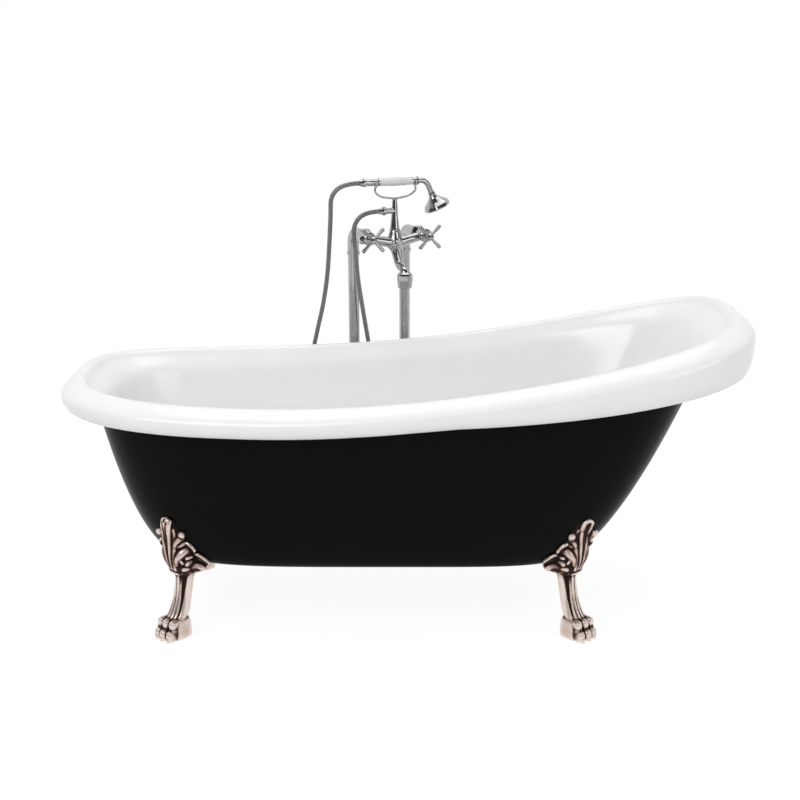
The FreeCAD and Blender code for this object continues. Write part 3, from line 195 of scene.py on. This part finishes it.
bronze = antique_bronze()
plywood = surface("plywood", (0.50, 0.34, 0.19), (0.62, 0.45, 0.27), (0.6, 0.75), 30.0)
steel = surface("steel", (0.42, 0.43, 0.45), (0.55, 0.56, 0.58), (0.28, 0.42), 200.0, metallic=1.0)
brass = surface("brass", (0.58, 0.41, 0.17), (0.68, 0.50, 0.23), (0.28, 0.40), 150.0, metallic=1.0)
rubber = surface("rubber", (0.018, 0.018, 0.019), (0.030, 0.030, 0.031), (0.62, 0.74), 120.0, bump=0.0001)
grey_plastic = surface("grey_plastic", (0.22, 0.23, 0.24), (0.28, 0.29, 0.30), (0.36, 0.48), 80.0,
                       bump=0.00005)
ceramic = surface("ceramic", (0.59, 0.59, 0.585), (0.61, 0.61, 0.605), (0.12, 0.18), 20.0)


def dress(obj, material):
    obj.data.materials.clear()
    obj.data.materials.append(material)


BY_NAME = (
    ("inner_shell", white_gloss), ("outer_skin", black_gloss), ("base_board", plywood),
    ("foot_bolts", steel), ("foot_washers", steel), ("board_inserts", steel), ("foot_glides", rubber),
    ("foot_", bronze), ("waste_seal", rubber), ("waste_lower_seal", rubber), ("plug_seal", rubber),
    ("waste_tee", grey_plastic), ("waste_backnut", grey_plastic), ("waste_flange", chrome),
    ("plug_cartridge", brass), ("overflow_back_seal", rubber), ("overflow_front_seal", rubber),
    ("overflow_box", grey_plastic), ("overflow_hose", grey_plastic), ("valve_cartridge", brass),
    ("handset_grip", ceramic), ("shower_hose", hose_metal),
    ("aerator", grey_plastic), ("", chrome),
)
for name, node in nodes.items():
    dress(node, next(material for start, material in BY_NAME if name.startswith(start)))

# ---- Shower hose: a ribbed metal hose from the handset's nut down behind the bath and up to the post ----
HOSE_DIAMETER = 0.0126
HOSE_ROUTE = (
    (-0.1214, 0.2228, 1.0660), (-0.1622, 0.2063, 1.0660), (-0.1950, 0.2050, 1.0360),
    (-0.1970, 0.2310, 0.9850), (-0.2030, 0.2520, 0.9050), (-0.2100, 0.2720, 0.8200),
    (-0.2250, 0.2970, 0.7300), (-0.2440, 0.3190, 0.6550), (-0.2590, 0.3280, 0.5900),
    (-0.2670, 0.3285, 0.5250), (-0.2640, 0.3250, 0.4700), (-0.2450, 0.3170, 0.4180),
    (-0.2060, 0.3110, 0.3940), (-0.1590, 0.3110, 0.3970), (-0.1170, 0.3150, 0.4300),
    (-0.0970, 0.3220, 0.4800), (-0.0940, 0.3265, 0.5350), (-0.0990, 0.3274, 0.5950),
    (-0.1100, 0.3210, 0.6650), (-0.1210, 0.3060, 0.7400), (-0.1300, 0.2820, 0.8120),
    (-0.1320, 0.2520, 0.8780), (-0.1370, 0.2350, 0.9150), (-0.1360, 0.2195, 0.9600),
    (-0.1075, 0.2284, 0.9900), (-0.0704, 0.2434, 0.9900),
)
HOSE_RIB_PITCH = 0.0030
HOSE_RIB_DEPTH = 0.00045
HOSE_AROUND = 14
RINGS_PER_RIB = 4
ROUTE_STEPS = 12


def route_line(route, steps):
    """The smooth line that a NURBS spline draws from the route's points."""
    curve = bpy.data.curves.new("route", "CURVE")
    curve.dimensions = "3D"
    line = curve.splines.new("NURBS")
    line.points.add(len(route) - 1)
    for point, spot in zip(line.points, route):
        point.co = (*spot, 1.0)
    line.order_u = 3
    line.use_endpoint_u = True
    line.resolution_u = steps
    obj = bpy.data.objects.new("route", curve)
    bpy.context.scene.collection.objects.link(obj)
    mesh = bpy.data.meshes.new_from_object(obj)
    places = [vertex.co.copy() for vertex in mesh.vertices]
    bpy.data.meshes.remove(mesh)
    bpy.data.objects.remove(obj)
    bpy.data.curves.remove(curve)
    return places


def ribbed_hose(line):
    """A tube along the line, its radius rising and falling in fine ribs."""
    lengths = [0.0]
    for before, after in zip(line, line[1:]):
        lengths.append(lengths[-1] + (after - before).length)
    stations = int(lengths[-1] / HOSE_RIB_PITCH) * RINGS_PER_RIB
    spokes = [2 * math.pi * k / HOSE_AROUND for k in range(HOSE_AROUND)]
    mesh = bmesh.new()
    rings = []
    side = Vector((0.0, 0.0, 1.0))
    row = 0
    for station in range(stations + 1):
        distance = lengths[-1] * station / stations
        while row < len(line) - 2 and lengths[row + 1] < distance:
            row += 1
        share = (distance - lengths[row]) / (lengths[row + 1] - lengths[row])
        centre = line[row].lerp(line[row + 1], min(max(share, 0.0), 1.0))
        along = (line[row + 1] - line[row]).normalized()
        side = (side - along * side.dot(along)).normalized()
        other = along.cross(side)
        dip = 0.5 - 0.5 * math.cos(2 * math.pi * station / RINGS_PER_RIB)
        radius = HOSE_DIAMETER / 2 - HOSE_RIB_DEPTH * dip
        rings.append([mesh.verts.new(centre + radius * (side * math.cos(spoke) + other * math.sin(spoke)))
                      for spoke in spokes])
    for low, high in zip(rings, rings[1:]):
        for k in range(HOSE_AROUND):
            j = (k + 1) % HOSE_AROUND
            mesh.faces.new((low[k], low[j], high[j], high[k]))
    mesh.faces.new(tuple(reversed(rings[0])))
    mesh.faces.new(tuple(rings[-1]))
    for face in mesh.faces:
        face.smooth = True
    data = bpy.data.meshes.new("shower_hose_ribbed")
    mesh.to_mesh(data)
    mesh.free()
    obj = bpy.data.objects.new("shower_hose_ribbed", data)
    bpy.context.scene.collection.objects.link(obj)
    return obj


hose_line = route_line(HOSE_ROUTE, ROUTE_STEPS)
hose = ribbed_hose(hose_line)
dress(hose, hose_metal)
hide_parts("shower_hose")
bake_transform(hose)

# ---- Feet: sculpted in millimetres in a foot's own frame, +X out over the toes, +Y across, +Z up -------
FOOT_TURN = math.radians(41.0)
FOOT_HEADING = math.atan2(-math.cos(FOOT_TURN), -math.sin(FOOT_TURN))
SOLE_Z = 2.0
SKIN_BASE_Z = 190.0
SEAT_GAP = 0.35
CLAY_VOXEL = 1.6
RING = 16                   # corners of a bar's ring
BLOB_ROWS = 12
BLOB_RING = 24
LEG_RING = 120
START_CAP = ((-0.94, 0.34), (-0.71, 0.71), (-0.34, 0.94), (0.0, 1.0))   # a round end: (shift, radius)
END_CAP = ((0.0, 1.0), (0.34, 0.94), (0.71, 0.71), (0.94, 0.34))
RIB_FLATNESS = 0.85


def spline(points, steps):
    """Points of a smooth line through the given ones, each a tuple of any length."""
    ends = [points[0]] + list(points) + [points[-1]]
    line = []
    for row in range(len(points) - 1):
        a, b, c, d = (numpy.array(ends[row + k], dtype=float) for k in range(4))
        for step in range(steps):
            t = step / steps
            line.append(0.5 * (2 * b + (c - a) * t + (2 * a - 5 * b + 4 * c - d) * t * t
                               + (3 * b - a - 3 * c + d) * t ** 3))
    line.append(numpy.array(points[-1], dtype=float))
    return line


class Clay:
    """Overlapping closed forms that a voxel remesh joins into one skin."""

    def __init__(self):
        self.points = []
        self.faces = []

    def loft(self, rings):
        start = len(self.points)
        count = len(rings[0])
        for ring in rings:
            self.points.extend(Vector(point) for point in ring)
        for row in range(len(rings) - 1):
            low = start + row * count
            for i in range(count):
                j = (i + 1) % count
                self.faces.append((low + i, low + j, low + count + j, low + count + i))
        self.faces.append(tuple(start + i for i in reversed(range(count))))
        self.faces.append(tuple(start + (len(rings) - 1) * count + i for i in range(count)))

    def bar(self, centres, radii, ups):
        """A tapering bar with round ends, flattened along the ups."""
        rings = []
        last = len(centres) - 1
        for i, (centre, radius, up) in enumerate(zip(centres, radii, ups)):
            along = (centres[min(i + 1, last)] - centres[max(i - 1, 0)]).normalized()
            side = along.cross(up).normalized()
            lift = side.cross(along).normalized()
            caps = ((0.0, 1.0),)
            if i == 0:
                caps = START_CAP
            if i == last:
                caps = END_CAP
            for shift, share in caps:
                middle = centre + along * (radius * shift)
                rings.append([middle + side * (radius * share * math.cos(2 * math.pi * k / RING))
                              + lift * (RIB_FLATNESS * radius * share * math.sin(2 * math.pi * k / RING))
                              for k in range(RING)])
        self.loft(rings)

    def blob(self, centre, size, turn, power):
        """An ellipsoid, or a boxier form with a power under 1, turned about Z."""

        def boxy(value):
            return math.copysign(abs(value) ** power, value)

        rings = []
        for row in range(1, BLOB_ROWS):
            tilt = math.pi * (row / BLOB_ROWS - 0.5)
            ring = []
            for k in range(BLOB_RING):
                angle = 2 * math.pi * k / BLOB_RING
                spot = Vector((size[0] * boxy(math.cos(tilt)) * boxy(math.cos(angle)),
                               size[1] * boxy(math.cos(tilt)) * boxy(math.sin(angle)),
                               size[2] * boxy(math.sin(tilt))))
                spot.rotate(Matrix.Rotation(turn, 3, "Z"))
                ring.append(Vector(centre) + spot)
            rings.append(ring)
        self.loft(rings)


def oval_ring(centre_x, along, across, z, power=2.0, count=48):
    ring = []
    for k in range(count):
        angle = 2 * math.pi * k / count
        c, s = math.cos(angle), math.sin(angle)
        ring.append((centre_x + along * math.copysign(abs(c) ** (2 / power), c),
                     across * math.copysign(abs(s) ** (2 / power), s), z))
    return ring


# The swelling behind the leaf: height, middle, half size along and across.
CALYX = ((168, -50, 27, 30), (174, -50, 34, 35), (190, -50, 40, 38), (212, -48, 43, 40), (245, -46, 43, 34),
         (272, -40, 38, 27), (298, -33, 33, 20), (314, -26, 25, 12))
# The leg: height, middle, half size along and across.
LEG = ((20, -4, 26, 27), (46, -11, 26.5, 27.5), (66, -25, 25.5, 26.5), (84, -32, 23.5, 25),
       (103, -38, 22.5, 24), (128, -43, 23.5, 24), (150, -46.5, 24.5, 25.5), (180, -51, 28, 29.5),
       (200, -56, 31, 33))
WING_BAR = ((-48, 16, 188), (-60, 38, 189), (-68, 52, 188))
WING_RADII = (18.0, 15.0, 12.0)
LEAF_LEAN = 6.0
LEAN_FROM_Z = 170.0
LEAN_CLIMB = 120.0
WING_FRONT_X = -45.0

# Ribs of one half of the leaf, drawn in front view: (across, height, how proud, radius).
LEAF_RIBS = (
    ((9.5, 309, 3, 6.5), (9.5, 291, 2, 6.5), (9, 264, 1, 6), (8, 236, 1, 5.6), (6, 208, 1, 5),
     (3, 184, 0.5, 4)),
    ((16.5, 288, 0, 4.5), (19, 262, 0, 5.5), (18, 236, 1, 6), (15, 210, 1, 5.5), (10, 182, 0.5, 4)),
    ((16, 232, 0, 5), (21, 254, 1, 7.5), (27, 269, 3, 9), (31, 277, 5.5, 9.5)),
    ((17, 198, 0, 6), (24, 217, 1.5, 9.5), (33, 232, 2.5, 10.5), (41, 239, 3.5, 8.5)),
    ((24, 246, 1, 5), (34, 252, 3, 6), (43, 246, 4.5, 6), (48, 235, 5, 5.5)),
    ((30, 203, 3.5, 3.6), (27.5, 213, 4, 3.8), (30, 222, 4.5, 3.8), (38, 226, 4.5, 3.6)),
    ((36, 215, 4, 5), (39, 216, 4, 4.4)),
    ((36, 198, 0, 9), (45, 210, 2, 11), (54, 213, 4, 10.5), (61, 205, 4, 9)),
    ((43, 220, 4, 5), (53, 224, 6, 5), (62, 214, 6.5, 5), (66, 202, 5, 5)),
    ((28, 184, 1, 6), (40, 190, 3, 8), (50, 192, 4, 8.5), (60, 187, 3, 8)),
    ((22, 173, 1, 5), (36, 175, 2.5, 6), (48, 176, 3, 6.5), (58, 176, 2, 6)),
)
LEAF_MIDDLE = (
    ((-9, 310, 3, 6), (0, 316, 3, 6), (9, 310, 3, 6)),
    ((0, 306, 0, 5.5), (0, 270, -1.5, 5.5), (0, 235, -1.5, 5), (0, 200, -1.5, 4)),
    ((-36, 172, 0, 4.5), (-20, 170, 1, 4.5), (0, 169, 1.5, 4.5), (20, 170, 1, 4.5), (36, 172, 0, 4.5)),
)
# The paw's block behind the toes: heights, and how wide it is at each.
PAW_MIDDLE_X = -14.0
PAW_HALF_LENGTH = 30.5
PAW_HALF_WIDTH = 32.5
PAW_SQUARENESS = 4.0
PAW_HEIGHTS = (SOLE_Z - 2, SOLE_Z + 3, 12, 30, 42, 49, 53, 55)
PAW_SWELLS = (0.96, 0.99, 1.0, 0.985, 0.96, 0.91, 0.83, 0.70)
# Three toes, each a pad, an upper knuckle, a nail and the flesh between them: (middle, half sizes).
TOE_PITCH = 20.8
TOE_SQUARENESS = 0.72
OUTER_TOE_BACK = 2.5
TOE_SPLAY = 0.12
TOE_FORMS = (((22.5, 16.0), (16.0, 10.4, 15.5)), ((13.5, 43.0), (14.0, 9.7, 12.5)),
             ((36.5, 7.5), (4.0, 5.0, 6.5)), ((16.0, 27.0), (12.0, 9.6, 12.0)))


PLATE_CORNERS = ((-50, -23), (-50, 23), (-164, 23), (-164, -23))
PLATE_HEIGHTS = (SKIN_BASE_Z - 10.0, SKIN_BASE_Z - 0.2)

# Round the leg, in degrees from its front: lines between the tendons, and a wedge on each side that
# widens and deepens as it climbs.
LINE_DEPTH = 2.4
SIDE_LINE_TURN = 22.0
WEDGE_TURN = 48.0
WEDGE_FROM_Z = 66.0
WEDGE_CLIMB = 95.0
ANKLE_Z = 48.0              # the grooves fade in above this height
ANKLE_FADE = 14.0


def bump_at(value, width):
    return math.exp(-(value / width) ** 2)


def leg_rings():
    """The leg's rings, its front in tendons and a deep groove on each side."""
    rings = []
    for z, middle, along, across in spline(LEG, 7):
        up_share = min(max((z - WEDGE_FROM_Z) / WEDGE_CLIMB, 0.0), 1.0)
        ring = []
        for k in range(LEG_RING):
            angle = math.pi * (2 * k / LEG_RING - 1.0)
            turn = abs(math.degrees(angle))
            depth = LINE_DEPTH * (bump_at(turn, 4.5) + bump_at(turn - SIDE_LINE_TURN, 5.0))
            depth += (3.5 + 3.5 * up_share) * bump_at(turn - WEDGE_TURN, 6.0 + 14.0 * up_share)
            depth -= 1.0 * bump_at(turn - 12.5, 6.0) + 1.2 * bump_at(turn - 34.0, 5.0)
            depth *= min(max((z - ANKLE_Z) / ANKLE_FADE, 0.0), 1.0)
            ring.append((middle + (along - depth) * math.cos(angle), (across - depth) * math.sin(angle), z))
        rings.append(ring)
    return rings


BATH_MIDDLE_Y = -0.055
SKIN_CORE_SHARE = 0.7       # faces that look away from a line this share as long as the bath are outer
SKIN_CORE_Z = 0.5


def skin_outside(matrix):
    """The black skin's outer faces, as a tree in a foot's own frame."""
    mesh = nodes["outer_skin"].data
    inverse = matrix.inverted()
    points = [inverse @ vertex.co for vertex in mesh.vertices]
    faces = []
    for polygon in mesh.polygons:
        centre = polygon.center
        core = Vector((centre.x * SKIN_CORE_SHARE, BATH_MIDDLE_Y, SKIN_CORE_Z))
        if polygon.normal.dot(centre - core) > 0.0:
            corners = tuple(polygon.vertices)
            faces.append(corners if matrix.determinant() > 0 else corners[::-1])
    return BVHTree.FromPolygons(points, faces)


def relaxed(places, edges, rounds):
    """The points after moving halfway to the middle of their neighbours, that many times."""
    counts = numpy.bincount(edges.ravel(), minlength=len(places))[:, None]
    for _ in range(rounds):
        total = numpy.zeros_like(places)
        numpy.add.at(total, edges[:, 0], places[edges[:, 1]])
        numpy.add.at(total, edges[:, 1], places[edges[:, 0]])
        places = 0.5 * places + 0.5 * total / counts
    return places


def lean(height):
    """How far the leaf leans to the bath's end at a height."""
    return LEAF_LEAN * min(max((height - LEAN_FROM_Z) / LEAN_CLIMB, 0.0), 1.0)


def sculpt_foot(skin):
    """One foot as places, edges and faces."""
    body = Clay()
    body.loft([[(x, y - lean(row[0]), z) for x, y, z in oval_ring(*row[1:], row[0])]
               for row in spline(CALYX, 5)])
    body.bar([Vector(spot) for spot in WING_BAR], WING_RADII, [Vector((0, 0, 1))] * 3)
    body.bar([Vector((x, -y, z)) for x, y, z in WING_BAR], WING_RADII, [Vector((0, 0, 1))] * 3)
    body_tree = BVHTree.FromPolygons(body.points, body.faces)

    def front(across, height, proud):
        best = None
        for tree in (body_tree, skin):
            spot, normal, _, _ = tree.ray_cast(Vector((200.0, across, height)), Vector((-1.0, 0.0, 0.0)))
            if spot is not None and (best is None or spot.x > best[0].x):
                best = (spot, normal if normal.x > 0 else -normal)
        if best is None:
            spot, normal, _, _ = body_tree.find_nearest(Vector((WING_FRONT_X, across, height)))
            best = (spot, normal if normal.x > 0 else -normal)
        spot, normal = best
        return spot + normal * proud, normal

    def rib(stroke, sign):
        line = spline(stroke, 6)
        placed = [front(sign * across - lean(height), height, proud) for across, height, proud, _ in line]
        body.bar([spot for spot, _ in placed], [entry[3] for entry in line],
                 [normal for _, normal in placed])

    clay_ribs = [(stroke, sign) for stroke in LEAF_RIBS for sign in (1, -1)]
    clay_ribs += [(stroke, 1) for stroke in LEAF_MIDDLE]
    for stroke, sign in clay_ribs:
        rib(stroke, sign)
    body.loft(leg_rings())
    paw = []
    for z, swell in zip(PAW_HEIGHTS, PAW_SWELLS):
        paw.append(oval_ring(PAW_MIDDLE_X, PAW_HALF_LENGTH * swell, PAW_HALF_WIDTH * swell, z,
                             PAW_SQUARENESS))
    body.loft(paw)
    for toe in (-1, 0, 1):
        for (x, z), size in TOE_FORMS:
            middle = (x - OUTER_TOE_BACK * abs(toe), TOE_PITCH * toe, z)
            body.blob(middle, size, TOE_SPLAY * toe, TOE_SQUARENESS)
    body.loft([[(x, y, z) for x, y in PLATE_CORNERS] for z in PLATE_HEIGHTS])

    mesh = bpy.data.meshes.new("clay")
    mesh.from_pydata(body.points, [], body.faces)
    clay = bpy.data.objects.new("clay", mesh)
    bpy.context.scene.collection.objects.link(clay)
    remesh = clay.modifiers.new("remesh", "REMESH")
    remesh.mode = "VOXEL"
    remesh.voxel_size = CLAY_VOXEL
    graph = bpy.context.evaluated_depsgraph_get()
    skin_mesh = bpy.data.meshes.new_from_object(clay.evaluated_get(graph))
    bpy.data.objects.remove(clay)
    count = len(skin_mesh.vertices)
    places = numpy.empty(count * 3)
    skin_mesh.vertices.foreach_get("co", places)
    places = places.reshape(count, 3)
    edges = numpy.empty(len(skin_mesh.edges) * 2, dtype=numpy.int64)
    skin_mesh.edges.foreach_get("vertices", edges)
    edges = edges.reshape(-1, 2)
    faces = [tuple(polygon.vertices) for polygon in skin_mesh.polygons]
    bpy.data.meshes.remove(skin_mesh)
    places = relaxed(places, edges, 2)
    for i, place in enumerate(places):
        place[2] = max(place[2], SOLE_Z)
        if place[2] > SKIN_BASE_Z - 4.0 and place[0] < 20.0:
            spot, normal, _, _ = skin.find_nearest(Vector(place))
            if (Vector(place) - spot).dot(normal) < SEAT_GAP:
                places[i] = spot + normal * SEAT_GAP
    return places, edges, faces


# Rounds of smoothing and the depth that counts as 1, near each place and farther round it. Painted shade
# # darkens the faces under the leaf; the leaf's wings and the toes are darker, and dark patina gathers in the
# leg's wedge.
NEAR_ROUNDS = 16
NEAR_DEPTH = 1.3
FAR_ROUNDS = 110
FAR_DEPTH = 4.5
LEAF_BASE_Z = 150.0
WING_FROM_Y = 36.0
STAIN_FROM_Z = 62.0
STAIN_TO_Z = 176.0
TOES_FROM_X = 6.0
TOES_TOP_Z = 58.0
# painted shade under the leaf, on faces that look down
UNDER_LEAF_SHADE = 0.6
WING_DARKENING = 0.42
TOE_DARKENING = 0.5


def patina_and_shade_at(mesh, places, edges):
    """How dark each place is, -1 to 1: patina darkest in concave places and lightest on ridges, plus painted
    shade under the leaf and darker wings and toes.
    """
    count = len(mesh.vertices)
    normals = numpy.empty(count * 3)
    mesh.vertices.foreach_get("normal", normals)
    normals = normals.reshape(count, 3)
    near = relaxed(places, edges, NEAR_ROUNDS)
    far = relaxed(near, edges, FAR_ROUNDS)
    depth = (((near - places) * normals).sum(axis=1) / NEAR_DEPTH
             + ((far - places) * normals).sum(axis=1) / FAR_DEPTH)
    along, height, across = places[:, 0], places[:, 2], numpy.abs(places[:, 1])
    on_leaf = numpy.clip((height - LEAF_BASE_Z) / 15.0, 0.0, 1.0)
    # painted shade: faces that look down under the leaf are darkened
    under = numpy.clip(-normals[:, 2], 0.0, 1.0) * (height > LEAF_BASE_Z)
    on_wing = numpy.clip((across - WING_FROM_Y) / 12.0, 0.0, 1.0) * on_leaf
    middle = numpy.interp(height, [row[0] for row in LEG], [row[1] for row in LEG])
    turn = numpy.degrees(numpy.arctan2(across, along - middle))
    up_share = numpy.clip((height - WEDGE_FROM_Z) / WEDGE_CLIMB, 0.0, 1.0)
    in_wedge = numpy.exp(-((turn - WEDGE_TURN) / (6.0 + 19.0 * up_share)) ** 4) * (height > STAIN_FROM_Z)
    in_wedge *= (0.5 + 0.7 * up_share) * (height < STAIN_TO_Z)
    on_toes = numpy.clip((along - TOES_FROM_X) / 10.0, 0.0, 1.0) * (height < TOES_TOP_Z)
    painted_shade_and_patina = UNDER_LEAF_SHADE * under + WING_DARKENING * on_wing + in_wedge + TOE_DARKENING * on_toes
    return numpy.clip(depth + painted_shade_and_patina, -1.0, 1.0)


def foot_matrix(place, end_sign, side_sign):
    flips = (-1.0 if end_sign > 0 else 1.0, -1.0 if side_sign > 0 else 1.0, 1.0, 1.0)
    return (Matrix.Translation(place) @ Matrix.Diagonal(flips) @ Matrix.Rotation(FOOT_HEADING, 4, "Z")
            @ Matrix.Scale(0.001, 4))


rests = {mount["name"]: Vector(mount["pos_m"]) for mount in frame["record"]["mounts"]
         if mount["name"].startswith("rest_")}
for end, end_sign in (("left", -1), ("right", 1)):
    near = foot_matrix(rests["rest_front_" + end], end_sign, -1)
    foot_places, foot_edges, foot_faces = sculpt_foot(skin_outside(near))
    foot_mesh = bpy.data.meshes.new("foot_" + end)
    foot_mesh.from_pydata([Vector(place) for place in foot_places], [], foot_faces)
    # the darkness value: patina in concave places and painted shade under the leaf
    patina_and_shade_value = foot_mesh.attributes.new("hollow_and_shade", "FLOAT", "POINT")
    patina_and_shade_value.data.foreach_set("value", patina_and_shade_at(foot_mesh, foot_places, foot_edges))
    for side, side_sign in (("front", -1), ("back", 1)):
        mesh = foot_mesh.copy()
        matrix = foot_matrix(rests["rest_%s_%s" % (side, end)], end_sign, side_sign)
        mesh.transform(matrix)
        if matrix.determinant() < 0:
            mesh.flip_normals()
        for polygon in mesh.polygons:
            polygon.use_smooth = True
        foot = bpy.data.objects.new("sculpted_foot_%s_%s" % (side, end), mesh)
        bpy.context.scene.collection.objects.link(foot)
        dress(foot, bronze)
        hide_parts("foot_%s_%s" % (side, end))
        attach(foot, "bath_and_filler")
    bpy.data.meshes.remove(foot_mesh)

# ---- Floor, backdrop and light --------------------------------------------------------------------------
FLOOR_SIZE = 14.0
FLOOR_GLOW = 0.82           # the share of the floor's look that is plain white to the seen rays
FLOOR_WHITE = 1.12
AMBIENT = 0.55
floor_mesh = bpy.data.meshes.new("floor")
half = FLOOR_SIZE / 2
floor_mesh.from_pydata([(-half, -half, 0), (half, -half, 0), (half, half, 0), (-half, half, 0)], [],
                       [(0, 1, 2, 3)])
floor = bpy.data.objects.new("floor", floor_mesh)
bpy.context.scene.collection.objects.link(floor)


def seen_rays(make):
    """1 for what the camera sees straight, or in metal or glass."""
    path = make.add("ShaderNodeLightPath")
    seen = make.add("ShaderNodeMath", {0: path.outputs["Is Camera Ray"], 1: path.outputs["Is Glossy Ray"]},
                    operation="MAXIMUM").outputs[0]
    return make.add("ShaderNodeMath", {0: seen, 1: path.outputs["Is Transmission Ray"]},
                    operation="MAXIMUM").outputs[0]


def pale_floor():
    """A pale floor that the camera sees as white, with the object's soft shadow on it."""
    material, tree = new_material("pale_floor")
    make = Maker(tree)
    place = make.add("ShaderNodeTexCoord").outputs["Object"]
    tone = make.ramp(make.noise(place, 3.0), ((0.3, (0.80, 0.80, 0.80)), (0.7, (0.82, 0.82, 0.82))))
    matt = make.add("ShaderNodeBsdfDiffuse", {"Color": tone})
    glow = make.add("ShaderNodeEmission", {"Color": (1.0, 1.0, 1.0, 1.0), "Strength": FLOOR_WHITE})
    share = make.add("ShaderNodeMath", {0: seen_rays(make), 1: FLOOR_GLOW},
                     operation="MULTIPLY").outputs[0]
    mixed = make.add("ShaderNodeMixShader", {0: share, 1: matt.outputs[0], 2: glow.outputs[0]})
    make.add("ShaderNodeOutputMaterial", {"Surface": mixed.outputs[0]})
    return material


dress(floor, pale_floor())

# Metal sees a white backdrop behind the bath and a dim room in front of it.
ROOM_TONE = 0.10
world = bpy.data.worlds.new("studio")
world.use_nodes = True
bpy.context.scene.world = world
world.node_tree.nodes.clear()
sky = Maker(world.node_tree)
path = sky.add("ShaderNodeLightPath")
heading = sky.add("ShaderNodeSeparateXYZ", {0: sky.add("ShaderNodeTexCoord").outputs["Generated"]})
behind = sky.add("ShaderNodeMapRange", {"Value": heading.outputs["Y"], "From Min": -0.35, "From Max": 0.45,
                                        "To Min": ROOM_TONE, "To Max": 1.0},
                 interpolation_type="SMOOTHSTEP").outputs["Result"]
ambient = sky.add("ShaderNodeBackground", {"Color": (1.0, 1.0, 1.0, 1.0), "Strength": AMBIENT})
room = sky.add("ShaderNodeBackground", {"Color": (1.0, 1.0, 1.0, 1.0), "Strength": behind})
white = sky.add("ShaderNodeBackground", {"Color": (1.0, 1.0, 1.0, 1.0), "Strength": 1.0})
mixed = sky.add("ShaderNodeMixShader", {0: path.outputs["Is Glossy Ray"], 1: ambient.outputs[0],
                                        2: room.outputs[0]})
plain = sky.add("ShaderNodeMath", {0: path.outputs["Is Camera Ray"], 1: path.outputs["Is Transmission Ray"]},
                operation="MAXIMUM").outputs[0]
mixed = sky.add("ShaderNodeMixShader", {0: plain, 1: mixed.outputs[0], 2: white.outputs[0]})
sky.add("ShaderNodeOutputWorld", {"Surface": mixed.outputs[0]})


def lamp(name, place, aim, size, power):
    data = bpy.data.lights.new(name, "AREA")
    data.shape = "RECTANGLE"
    data.size, data.size_y = size
    data.energy = power
    obj = bpy.data.objects.new(name, data)
    obj.location = place
    obj.rotation_euler = (Vector(aim) - Vector(place)).to_track_quat("-Z", "Y").to_euler()
    bpy.context.scene.collection.objects.link(obj)


lamp("key", (-1.6, -2.6, 2.6), (0.0, 0.0, 0.4), (2.4, 1.6), 46.0)
lamp("fill", (2.6, -2.2, 1.6), (0.0, 0.0, 0.5), (2.0, 1.6), 20.0)
lamp("top", (0.0, 0.4, 3.4), (0.0, 0.0, 0.0), (3.0, 2.0), 30.0)
